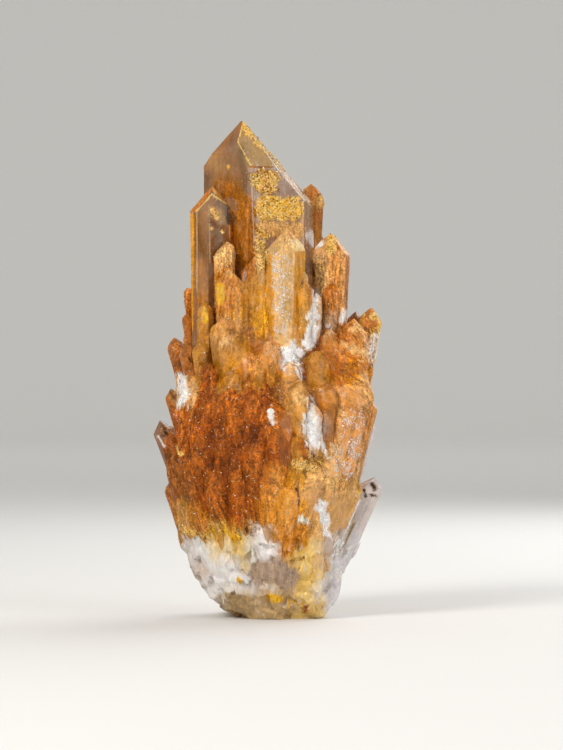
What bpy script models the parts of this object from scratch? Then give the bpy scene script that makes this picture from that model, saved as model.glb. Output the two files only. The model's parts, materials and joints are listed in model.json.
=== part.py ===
"""A golden healer quartz cluster, standing on its broken base.

One tall six-sided crystal with a pointed end, ringed by shorter crystals that
overlap like the leaves of an artichoke and lean out more the lower they start.
The crystals grew into each other, so the whole cluster is one solid.

Metres, +Z up, +X to the right, -Y towards the viewer. The origin is the middle
of the footprint, on the surface that the cluster stands on.

Crystals are laid out on a drawing sheet: across to the right and down, in
drawing units, with a third number for depth, away from the viewer.
"""
import math
import random

import bmesh
import bpy
from mathutils import Matrix, Vector

for old in list(bpy.data.objects):
    bpy.data.objects.remove(old, do_unlink=True)

# ---------------------------------------------------------------- dimensions
UNIT = 0.00028            # one drawing unit, in metres
FOOT_X = 267.57           # sheet position of the middle of the footprint
FOOT_DEPTH = -0.62        # and its depth
FOOT_Y = 616.0            # sheet line of the standing surface
EYE_X, EYE_Y = 281.5, 375.0   # sheet point straight in front of the viewer
EYE_FAR = 3125.0          # the viewer's distance from the sheet, in units

R_FACE = math.radians(51.79)  # quartz: end face's normal from the long axis
TAPER = 0.62              # a thin crystal's foot is narrower than its top
TAPER_THICK = 0.86        # and a thick one's

# The tall crystal: apex on the sheet, axis, and circumradius
MAIN_APEX = (243.0, 121.0, -18.3)
MAIN_AXIS_X = 259.5
MAIN_FOOT_Y = 440.0
MAIN_R = 58.4
MAIN_TURN = 18.5          # which way the front prism face looks, degrees

# The outline of the cluster as seen from the front: sheet line, left, right
OUTLINE = [
    (121, 243, 243), (150, 215, 268), (170, 202, 288), (190, 202, 305),
    (205, 200, 322), (220, 190, 324), (240, 190, 345), (260, 190, 349),
    (285, 189, 343), (300, 188, 343), (312, 188, 345), (325, 183, 378),
    (340, 173, 383), (355, 166, 381), (375, 171, 375), (390, 168, 374),
    (405, 164, 371), (420, 161, 371), (440, 153, 375), (455, 155, 373),
    (470, 160, 368), (485, 164, 380), (500, 170, 381), (520, 177, 372),
    (540, 180, 362), (555, 183, 355), (570, 188, 349), (585, 200, 341),
    (600, 212, 333), (608, 220, 322), (616, 228, 312),
]

# ------------------------------------------------------------ the crystals
# Each row: apex across, down, depth; foot across, down, depth; circumradius;
# turn of the front face; depth squash; apex shift across and in depth.
CRYSTALS = [
    # high crystals against the tall one
    (213, 187, -47, 213, 430, -34, 23.5, 22, 1.0, 0.05, -0.10),
    (311, 184, 24, 309, 430, 14, 13.0, -8, 1.0, -0.05, 0.00),
    (287, 228, -61, 284, 430, -44, 21.0, 0, 0.9, 0.08, 0.10),
    (227, 241, -62, 227, 420, -42, 11.5, 12, 1.0, 0.20, 0.00),
    (229, 268, -72, 231, 440, -48, 15.0, 10, 0.9, -0.05, 0.10),
    (259, 253, -66, 257, 430, -46, 9.5, 6, 1.0, 0.30, 0.00),
    (205, 301, -64, 210, 430, -46, 8.5, -10, 1.0, 0.00, 0.00),
    (306, 281, -66, 303, 430, -46, 9.5, 5, 1.0, 0.10, 0.00),
    (304, 272, -58, 301, 400, -46, 5.0, 12, 1.0, 0.00, 0.00),
    (332, 233, -30, 327, 440, -26, 20.5, 17, 1.0, 0.02, 0.00),
    (333, 286, -46, 327, 430, -36, 8.5, -12, 1.0, 0.20, 0.00),
    (316, 292, -58, 312, 430, -42, 7.5, 18, 1.0, 0.00, 0.10),
    (244, 281, -68, 246, 430, -48, 6.5, 26, 1.0, 0.10, 0.00),
    # left shoulder
    (188, 287, -26, 197, 400, -20, 6.0, 0, 1.0, -0.10, 0.00),
    (187, 313, -38, 203, 430, -30, 8.5, 15, 1.0, -0.20, 0.00),
    (174, 337, -18, 204, 470, -16, 13.0, 8, 1.0, -0.20, 0.00),
    (186, 343, -44, 211, 470, -34, 10.5, -14, 1.0, 0.00, 0.00),
    (200, 340, -62, 213, 470, -44, 10.0, 4, 1.0, 0.00, 0.10),
    (207, 361, -72, 221, 480, -50, 9.0, 20, 1.0, 0.00, 0.00),
    (189, 372, -54, 211, 500, -40, 12.5, -6, 1.0, 0.10, 0.00),
    # middle
    (219, 321, -76, 233, 470, -50, 20.0, 4, 0.9, -0.42, 0.00),
    (269, 335, -80, 270, 480, -54, 12.0, 6, 1.0, -0.10, 0.10),
    (250, 352, -82, 252, 490, -54, 12.5, -14, 1.0, 0.00, 0.00),
    (232, 371, -86, 243, 500, -56, 11.0, 16, 1.0, 0.00, 0.00),
    (291, 361, -78, 288, 480, -54, 10.5, 10, 1.0, 0.10, 0.00),
    (299, 378, -86, 297, 510, -58, 13.0, 30, 1.0, 0.05, 0.20),
    (317, 349, -70, 313, 470, -50, 12.5, -10, 1.0, 0.00, 0.00),
    (330, 328, -60, 324, 440, -42, 11.0, 10, 1.0, 0.10, 0.00),
    (271, 405, -92, 270, 530, -60, 12.5, 24, 1.0, 0.00, 0.00),
    (253, 391, -90, 256, 510, -60, 10.5, 6, 1.0, 0.10, 0.00),
    (220, 385, -82, 234, 510, -54, 10.5, 10, 1.0, 0.00, 0.00),
    (284, 409, -90, 282, 540, -60, 9.5, 10, 1.0, 0.00, 0.10),
    (313, 402, -80, 308, 530, -56, 11.5, -6, 1.0, 0.00, 0.00),
    (301, 437, -84, 297, 550, -56, 11.0, 12, 1.0, 0.10, 0.00),
    # right shoulder
    (356, 311, -2, 345, 440, -6, 10.0, 0, 1.0, 0.00, 0.00),
    (371, 307, -14, 355, 460, -14, 13.0, 16, 1.0, -0.10, 0.00),
    (354, 318, -44, 344, 450, -34, 16.0, 6, 1.0, -0.05, 0.10),
    (359, 366, -52, 346, 530, -38, 22.0, -4, 0.9, 0.05, 0.20),
    (329, 381, -74, 322, 510, -52, 12.5, 14, 1.0, 0.00, 0.00),
    (372, 400, -8, 354, 520, -10, 8.0, 0, 1.0, 0.00, 0.00),
    (340, 348, -56, 334, 470, -42, 10.5, 20, 1.0, 0.00, 0.00),
    (344, 398, -66, 333, 530, -46, 14.5, 24, 1.0, 0.00, 0.00),
    # left flank, leaning out
    (171, 388, -14, 201, 510, -14, 10.0, 10, 1.0, -0.10, 0.00),
    (180, 399, -44, 207, 520, -32, 10.0, -8, 1.0, 0.00, 0.00),
    (160, 420, -6, 196, 530, -10, 11.5, 5, 1.0, 0.00, 0.00),
    (170, 430, -32, 201, 550, -26, 9.5, 16, 1.0, 0.00, 0.00),
    (194, 402, -62, 216, 530, -42, 10.0, 8, 1.0, 0.00, 0.00),
    (208, 396, -74, 226, 530, -50, 10.0, -14, 1.0, 0.00, 0.00),
    (236, 402, -88, 245, 540, -60, 11.0, 14, 1.0, 0.00, 0.00),
    (183, 428, -54, 209, 550, -40, 9.5, -4, 1.0, 0.00, 0.00),
    (200, 432, -70, 220, 550, -46, 10.5, 18, 1.0, 0.00, 0.00),
    (221, 424, -82, 234, 550, -54, 10.5, 2, 1.0, 0.00, 0.00),
    (254, 438, -90, 256, 560, -60, 11.5, 20, 1.0, 0.00, 0.00),
    (176, 462, -36, 203, 570, -28, 9.5, 0, 1.0, 0.00, 0.00),
    (192, 470, -60, 213, 580, -40, 10.0, 14, 1.0, 0.00, 0.00),
    (237, 458, -84, 243, 570, -54, 11.0, -10, 1.0, 0.00, 0.00),
    (214, 468, -76, 227, 580, -48, 11.0, 8, 1.0, 0.00, 0.00),
    (183, 505, -42, 206, 590, -28, 10.0, 6, 1.0, 0.00, 0.00),
    (170, 480, -10, 198, 580, -8, 9.5, -12, 1.0, 0.00, 0.00),
    (182, 528, -14, 206, 598, -10, 9.0, 12, 1.0, 0.00, 0.00),
    # behind
    (281, 214, 50, 279, 400, 34, 21.0, 30, 1.0, 0.10, 0.10),
    (232, 258, 60, 236, 420, 40, 19.0, 8, 1.0, -0.15, 0.00),
    (318, 292, 50, 312, 430, 34, 18.0, -12, 1.0, 0.10, 0.10),
    (257, 326, 80, 258, 470, 52, 21.0, 18, 0.95, 0.00, -0.10),
    (207, 352, 58, 223, 490, 40, 16.0, 0, 1.0, 0.00, 0.00),
    (300, 372, 84, 292, 500, 54, 19.0, -20, 1.0, 0.15, 0.00),
    (352, 388, 38, 330, 520, 26, 15.0, 10, 1.0, 0.00, 0.00),
    (230, 420, 88, 240, 550, 56, 17.0, 24, 1.0, 0.00, 0.10),
    # lower middle
    (271, 462, -88, 271, 580, -56, 13.5, 8, 1.0, 0.00, 0.00),
    (290, 478, -82, 287, 590, -52, 12.0, -10, 1.0, 0.00, 0.00),
    (314, 462, -78, 306, 595, -48, 15.5, 4, 1.0, 0.10, 0.00),
    (331, 452, -72, 320, 570, -48, 12.5, 22, 1.0, 0.00, 0.00),
    # lower right, clear
    (371, 421, -4, 345, 560, -4, 9.0, 10, 1.0, 0.20, 0.00),
    (375, 477, -22, 322, 600, -12, 15.5, 2, 1.0, 0.20, 0.00),
    (353, 482, -46, 317, 598, -26, 14.5, 16, 1.0, 0.00, 0.00),
    (335, 494, -60, 309, 600, -34, 13.0, -6, 1.0, 0.00, 0.00),
    (360, 538, -8, 325, 604, -4, 8.0, 8, 1.0, 0.00, 0.00),
]

# The massive base that the crystals share: sheet line, left, right, and half
# its depth
HEART = [
    (296, 228, 306, 44), (330, 205, 341, 62), (362, 191, 355, 75),
    (400, 182, 359, 83), (440, 178, 360, 86), (480, 178, 358, 84),
    (518, 180, 354, 78), (548, 183, 348, 71), (570, 189, 343, 63),
    (585, 199, 338, 57), (600, 211, 332, 51), (610, 220, 321, 46),
    (620, 228, 312, 43),
]


# Broken columns of the base, which run on below the standing surface
COLUMNS = [
    (309, 462, -60, 304, 660, -42, 17.0, 8, 1.0, 0.00, 0.00),
    (330, 470, -34, 319, 650, -20, 17.0, 20, 1.0, 0.00, 0.00),
    (206, 480, -34, 218, 650, -20, 15.0, -6, 1.0, 0.00, 0.00),
    (232, 470, -58, 239, 660, -38, 18.0, 14, 1.0, 0.00, 0.00),
    (268, 470, -64, 268, 660, -44, 18.0, -4, 1.0, 0.00, 0.00),
    (202, 480, 24, 216, 650, 14, 15.0, 10, 1.0, 0.00, 0.00),
    (236, 470, 60, 242, 655, 40, 18.0, 2, 1.0, 0.00, 0.00),
    (286, 470, 62, 282, 655, 42, 20.0, 16, 1.0, 0.00, 0.00),
    (330, 480, 30, 318, 650, 18, 17.0, -8, 1.0, 0.00, 0.00),
]

# Where the cluster broke off: a sheet point with its depth, and the way the
# broken face looks
BREAKS = [
    ((199, 582, 0), (-0.72, 0.05, -0.69)), ((221, 605, 0), (-0.55, -0.20, -0.81)),
    ((333, 602, 0), (0.60, 0.10, -0.79)), ((262, 588, -64), (-0.10, -0.80, -0.60)),
    ((303, 605, -52), (0.30, -0.62, -0.72)), ((228, 604, -48), (-0.35, -0.60, -0.72)),
    ((262, 590, 62), (0.05, 0.82, -0.57)), ((232, 604, 50), (-0.40, 0.60, -0.70)),
    ((304, 606, 48), (0.38, 0.62, -0.69)),
]


def outline_at(down):
    """Left and right edge of the front view at a sheet line."""
    rows = OUTLINE
    for (y0, l0, r0), (y1, l1, r1) in zip(rows, rows[1:]):
        if y0 <= down <= y1:
            t = (down - y0) / (y1 - y0)
            return l0 + t * (l1 - l0), r0 + t * (r1 - r0)
    return (rows[0][1:] if down < rows[0][0] else rows[-1][1:])


def depth_at(down):
    """Half the depth of the cluster's envelope at a sheet line."""
    table = [(180, 50), (240, 62), (300, 74), (350, 84), (400, 90), (450, 92),
             (500, 86), (550, 72), (600, 52), (616, 40)]
    for (y0, d0), (y1, d1) in zip(table, table[1:]):
        if y0 <= down <= y1:
            return d0 + (down - y0) / (y1 - y0) * (d1 - d0)
    return table[0][1] if down < table[0][0] else table[-1][1]


def back_crystals():
    """Crystals round the back, in staggered rings like those in front."""
    rng = random.Random(7)
    rows = []
    rings = [(204, 1), (240, 2), (268, 3), (296, 4), (324, 5), (350, 6),
             (378, 6), (406, 7), (434, 7), (462, 7), (490, 6), (518, 5)]
    for n, (down, count) in enumerate(rings):
        for k in range(count):
            share = (k + 0.5 + (0.25 if n % 2 else -0.25)) / count
            bearing = math.radians(-84 + 168 * share + rng.uniform(-5, 5))
            y = down + rng.uniform(-10, 10)
            big = rng.random()
            r = 8.0 + 7.5 * big * big + (3.0 if down < 300 else 0.0)
            left, right = outline_at(y + 1.2 * r)
            middle, half = (left + right) / 2, (right - left) / 2
            x = middle + (half - r - 4.0) * math.sin(bearing)
            d = (depth_at(y + r) - 0.35 * r) * math.cos(bearing)
            lean = 0.80 - 0.25 * min(1.0, max(0.0, (y - 200) / 250))
            fx = 262 + (x - 262) * lean
            rows.append((x, y, d, fx, y + 130, d * lean, r, rng.uniform(-30, 30),
                         rng.uniform(0.85, 1.0), rng.uniform(-0.25, 0.25),
                         rng.uniform(-0.2, 0.2)))
    return rows


def place(across, down, depth):
    """A sheet point at a depth, as a point in the model, in metres."""
    grow = 1.0 + depth / EYE_FAR
    x = (across - EYE_X) * grow + (EYE_X - FOOT_X)
    z = (EYE_Y - down) * grow + (FOOT_Y - EYE_Y)
    return Vector((x, depth - FOOT_DEPTH, z)) * UNIT


def new_object(name, bm, collection):
    mesh = bpy.data.meshes.new(name)
    bmesh.ops.recalc_face_normals(bm, faces=bm.faces[:])
    if bm.calc_volume(signed=True) < 0:
        bmesh.ops.reverse_faces(bm, faces=bm.faces[:])
    bm.to_mesh(mesh)
    bm.free()
    obj = bpy.data.objects.new(name, mesh)
    collection.objects.link(obj)
    return obj


def cut(bm, point, normal):
    """Takes off all of a convex body that lies beyond a plane."""
    if all((v.co - point).dot(normal) > -1e-6 for v in bm.verts):
        return
    bmesh.ops.bisect_plane(
        bm, geom=bm.verts[:] + bm.edges[:] + bm.faces[:], dist=1e-7,
        plane_co=point, plane_no=normal, clear_outer=True)
    bmesh.ops.holes_fill(bm, edges=[e for e in bm.edges if e.is_boundary], sides=0)


def crystal(name, apex, foot, radius, turn, squash, shift, gaps, collection,
            taper=None, breaks=()):
    """A six-sided quartz crystal: a prism cut by six end faces.

    Its foot runs to a point where it wedges in between its neighbours.

    shift moves the apex off the axis, in radii. gaps lifts each end face off
    the apex, in radii, which makes it smaller than its neighbours.
    """
    axis = apex - foot
    length = axis.length
    top = 0.4 * radius
    if taper is None:
        taper = TAPER if radius < 15 * UNIT else TAPER_THICK
    bm = bmesh.new()
    bmesh.ops.create_cone(bm, cap_ends=True, segments=6, radius1=radius * taper,
                          radius2=radius, depth=length + top)
    bmesh.ops.translate(bm, verts=bm.verts[:], vec=(0, 0, top - (length + top) / 2))
    under = [f for f in bm.faces if f.normal.z < -0.9]
    for v in bmesh.ops.poke(bm, faces=under)["verts"]:
        v.co.z -= 2.2 * radius
    off = Vector((shift[0] * radius, shift[1] * radius, 0))
    spin = math.radians(turn - 90)
    local_off = Matrix.Rotation(-spin, 3, "Z") @ off
    for k in range(6):
        a = math.radians(60 * k)
        n = Vector((math.cos(a) * math.sin(R_FACE), math.sin(a) * math.sin(R_FACE),
                    math.cos(R_FACE)))
        cut(bm, local_off + n * gaps[k] * radius, n)
    tilt = Vector((0, 0, 1)).rotation_difference(axis.normalized()).to_matrix()
    flat = Matrix.Diagonal((1.0, squash, 1.0))
    turn_in = Matrix.Rotation(spin, 3, "Z")
    whole = (tilt @ flat @ turn_in).to_4x4()
    # the apex stays where the sheet puts it
    whole.translation = apex - tilt @ (flat @ off)
    bm.transform(whole)
    for spot, normal in breaks:
        # a column breaks a little proud of the mass that it stands in
        out = Vector(normal).normalized()
        cut(bm, place(*spot) + out * 0.08 * radius, out)
    return new_object(name, bm, collection)


def end_gaps(rng, regular=False):
    """Three large end faces that meet at the apex, and three smaller ones."""
    if regular:
        return [0.0] * 6
    odd = rng.choice((0, 1))
    return [0.0 if k % 2 == odd else rng.choice((0.02, 0.08, 0.16, 0.22))
            for k in range(6)]


def heart_at(down):
    """Left edge, right edge and half depth of the shared base."""
    rows = HEART
    for r0, r1 in zip(rows, rows[1:]):
        if r0[0] <= down <= r1[0]:
            t = (down - r0[0]) / (r1[0] - r0[0])
            return [r0[k] + t * (r1[k] - r0[k]) for k in (1, 2, 3)]
    return rows[0][1:] if down < rows[0][0] else rows[-1][1:]


def rooted(apex, foot, radius):
    """Moves a crystal's foot along its axis until it is buried in the base.

    Where the axis would miss the base, the crystal leans in to reach it.
    """
    for step in range(10, 80):
        s = step / 20.0
        x, y, d = (a + s * (f - a) for a, f in zip(apex, foot))
        if y > 584:
            break
        left, right, deep = heart_at(y)
        half = (right - left) / 2
        u = (x - (left + right) / 2) / max(half - 0.3 * radius, 4.0)
        v = d / max(deep - 0.3 * radius, 4.0)
        if y > HEART[1][0] and u * u + v * v < 0.96:
            return x, y, d
    y = min(max(foot[1], apex[1] + 100), 584)
    left, right, deep = heart_at(y)
    middle, half = (left + right) / 2, (right - left) / 2
    u = (foot[0] - middle) / (half - 0.5 * radius)
    v = foot[2] / (deep - 0.5 * radius)
    pull = min(1.0, 0.95 / math.hypot(u, v))
    return middle + (foot[0] - middle) * pull, y, foot[2] * pull


def heart(collection):
    """The massive quartz that the crystals share, broken off below."""
    bm = bmesh.new()
    rings, spokes = len(HEART), 17
    bmesh.ops.create_cone(bm, cap_ends=True, segments=spokes, radius1=1.0,
                          radius2=1.0, depth=1.0)
    side = [e for e in bm.edges if abs(e.verts[0].co.z - e.verts[1].co.z) > 0.5]
    bmesh.ops.subdivide_edges(bm, edges=side, cuts=rings - 2)
    rng = random.Random(3)
    ribs = [rng.uniform(-0.05, 0.03) for _ in range(spokes)]
    for v in sorted(bm.verts, key=lambda v: (round(v.co.z, 4),
                                             math.atan2(v.co.y, v.co.x))):
        ring = round((0.5 - v.co.z) * (rings - 1))
        down, left, right, deep = HEART[ring]
        a = math.atan2(v.co.y, v.co.x)
        rib = ribs[round(a / (2 * math.pi) * spokes) % spokes]
        rough = 1 + rib + rng.uniform(-0.025, 0.02)
        x = (left + right) / 2 + (right - left) / 2 * rough * math.cos(a)
        if 0 < ring < rings - 1:
            down += rng.uniform(-5, 5)
        v.co = place(x, down, deep * rough * math.sin(a))
    for spot, normal in BREAKS:
        cut(bm, place(*spot), Vector(normal).normalized())
    bmesh.ops.triangulate(bm, faces=bm.faces[:])
    return new_object("quartz_cluster", bm, collection)


def outer_shell(obj):
    """Makes the union solid: gaps shut in between crystals are filled up."""
    graph = bpy.context.evaluated_depsgraph_get()
    mesh = bpy.data.meshes.new_from_object(obj.evaluated_get(graph), depsgraph=graph)
    bm = bmesh.new()
    bm.from_mesh(mesh)
    bm.faces.ensure_lookup_table()
    shells, seen = [], set()
    for face in bm.faces:
        if face in seen:
            continue
        shell, todo = [], [face]
        seen.add(face)
        while todo:
            f = todo.pop()
            shell.append(f)
            for e in f.edges:
                for g in e.link_faces:
                    if g not in seen:
                        seen.add(g)
                        todo.append(g)
        shells.append(shell)
    shells.sort(key=len)
    inner = [f for shell in shells[:-1] for f in shell]
    if inner:
        bmesh.ops.delete(bm, geom=inner, context="FACES")
    bm.to_mesh(mesh)
    bm.free()
    obj.modifiers.clear()
    obj.data = mesh


def material(name, colour, roughness, transmission=0.0):
    mat = bpy.data.materials.new(name)
    mat.use_nodes = True
    p = mat.node_tree.nodes["Principled BSDF"]
    p.inputs["Base Color"].default_value = (*colour, 1)
    p.inputs["Roughness"].default_value = roughness
    p.inputs["Metallic"].default_value = 0.0
    p.inputs["IOR"].default_value = 1.544
    p.inputs["Transmission Weight"].default_value = transmission
    return mat


def main():
    scene = bpy.context.scene
    shown = bpy.data.collections.new("golden_healer_quartz")
    grown = bpy.data.collections.new("growth_shapes")
    cutters = bpy.data.collections.new("cutters")
    for c in (shown, grown, cutters):
        scene.collection.children.link(c)

    cluster = heart(shown)

    rng = random.Random(11)
    crystal("tall_crystal", place(*MAIN_APEX),
            place(MAIN_APEX[0], MAIN_FOOT_Y, MAIN_APEX[2]), MAIN_R * UNIT,
            MAIN_TURN, 1.0,
            ((MAIN_APEX[0] - MAIN_AXIS_X) / MAIN_R, MAIN_APEX[2] / MAIN_R),
            [0.0, 0.0, 0.0, 0.035, 0.035, 0.0], grown, taper=1.0)
    for n, row in enumerate(CRYSTALS + back_crystals()):
        apex, foot = row[:3], row[3:6]
        r, turn, squash, sx, sy = row[6:]
        foot = rooted(apex, foot, r)
        gaps = end_gaps(rng)
        crystal(f"crystal_{n:03d}", place(*apex), place(*foot),
                r * UNIT, turn, squash, (sx, sy), gaps, grown)
    for n, row in enumerate(COLUMNS):
        r, turn, squash, sx, sy = row[6:]
        crystal(f"column_{n:03d}", place(*row[:3]), place(*row[3:6]), r * UNIT,
                turn, squash, (sx, sy), end_gaps(rng), grown, taper=1.0,
                breaks=[(spot, [c + rng.uniform(-0.06, 0.06) for c in normal])
                        for spot, normal in BREAKS])
    for o in grown.objects:
        o.hide_render = True
        o.display_type = "WIRE"

    # everything below the standing surface is cut away
    bm = bmesh.new()
    bmesh.ops.create_cube(bm, size=0.2)
    bmesh.ops.translate(bm, verts=bm.verts[:], vec=(0, 0, -0.1))
    ground = new_object("ground_cutter", bm, cutters)
    ground.hide_render = True
    ground.display_type = "WIRE"

    join = cluster.modifiers.new("grown_together", "BOOLEAN")
    join.operation = "UNION"
    join.operand_type = "COLLECTION"
    join.collection = grown
    join.solver = "EXACT"
    flat = cluster.modifiers.new("flat_foot", "BOOLEAN")
    flat.operation = "DIFFERENCE"
    flat.object = ground
    flat.solver = "EXACT"

    outer_shell(cluster)

    cluster.data.materials.clear()
    cluster.data.materials.append(material("iron_stained_quartz", (0.72, 0.38, 0.12), 0.35, 0.3))


main()
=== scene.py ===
"""The looks of a golden healer quartz cluster.

Everything is laid out on the same drawing sheet as the solid: across to the
right and down, in units of 0.28 mm, with a third number for depth, away from
the viewer.
"""
import json
import math
import random
import time

import bmesh
import bpy
import numpy as np
from mathutils import Matrix, Vector
from mathutils.bvhtree import BVHTree
from mathutils.kdtree import KDTree

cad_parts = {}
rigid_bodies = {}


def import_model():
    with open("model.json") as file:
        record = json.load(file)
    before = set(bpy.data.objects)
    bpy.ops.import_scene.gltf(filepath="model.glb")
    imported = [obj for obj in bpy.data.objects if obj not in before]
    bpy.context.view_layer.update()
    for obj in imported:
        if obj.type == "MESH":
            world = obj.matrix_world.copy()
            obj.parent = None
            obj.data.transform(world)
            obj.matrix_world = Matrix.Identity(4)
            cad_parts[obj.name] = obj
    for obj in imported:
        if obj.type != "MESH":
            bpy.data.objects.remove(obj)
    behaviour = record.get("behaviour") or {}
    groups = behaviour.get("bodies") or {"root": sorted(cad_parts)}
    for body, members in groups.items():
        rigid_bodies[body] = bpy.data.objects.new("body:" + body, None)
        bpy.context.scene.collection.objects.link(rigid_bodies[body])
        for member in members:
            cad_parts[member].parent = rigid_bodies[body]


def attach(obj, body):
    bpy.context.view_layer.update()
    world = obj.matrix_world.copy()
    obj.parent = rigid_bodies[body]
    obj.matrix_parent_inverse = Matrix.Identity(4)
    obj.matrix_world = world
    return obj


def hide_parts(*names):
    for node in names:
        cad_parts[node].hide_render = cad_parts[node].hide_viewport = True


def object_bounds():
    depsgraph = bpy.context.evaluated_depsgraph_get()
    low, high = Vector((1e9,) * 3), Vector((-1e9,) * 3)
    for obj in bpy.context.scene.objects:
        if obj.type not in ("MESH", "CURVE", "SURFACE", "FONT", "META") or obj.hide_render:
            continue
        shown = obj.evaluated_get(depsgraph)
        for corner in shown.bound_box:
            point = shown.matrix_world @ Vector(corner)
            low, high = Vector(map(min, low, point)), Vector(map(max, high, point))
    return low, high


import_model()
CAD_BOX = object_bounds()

T0 = time.time()

# ---------------------------------------------------------------- dimensions
UNIT = 0.00028
FOOT_X = 267.57
FOOT_DEPTH = -0.62
FOOT_Y = 616.0
EYE_X, EYE_Y = 281.5, 375.0
EYE_FAR = 3125.0
IMAGE_W, IMAGE_H = 563, 750
MOST_TRIANGLES = 198000         # of the skin

R_FACE = math.radians(51.79)
TAPER = 0.62
TAPER_THICK = 0.86

MAIN_APEX = (243.0, 121.0, -18.3)
MAIN_AXIS_X = 259.5
MAIN_FOOT_Y = 440.0
MAIN_R = 58.4
MAIN_TURN = 18.5

OUTLINE = [
    (121, 243, 243), (150, 215, 268), (170, 202, 288), (190, 202, 305),
    (205, 200, 322), (220, 190, 324), (240, 190, 345), (260, 190, 349),
    (285, 189, 343), (300, 188, 343), (312, 188, 345), (325, 183, 378),
    (340, 173, 383), (355, 166, 381), (375, 171, 375), (390, 168, 374),
    (405, 164, 371), (420, 161, 371), (440, 153, 375), (455, 155, 373),
    (470, 160, 368), (485, 164, 380), (500, 170, 381), (520, 177, 372),
    (540, 180, 362), (555, 183, 355), (570, 188, 349), (585, 200, 341),
    (600, 212, 333), (608, 220, 322), (616, 228, 312),
]

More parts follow.
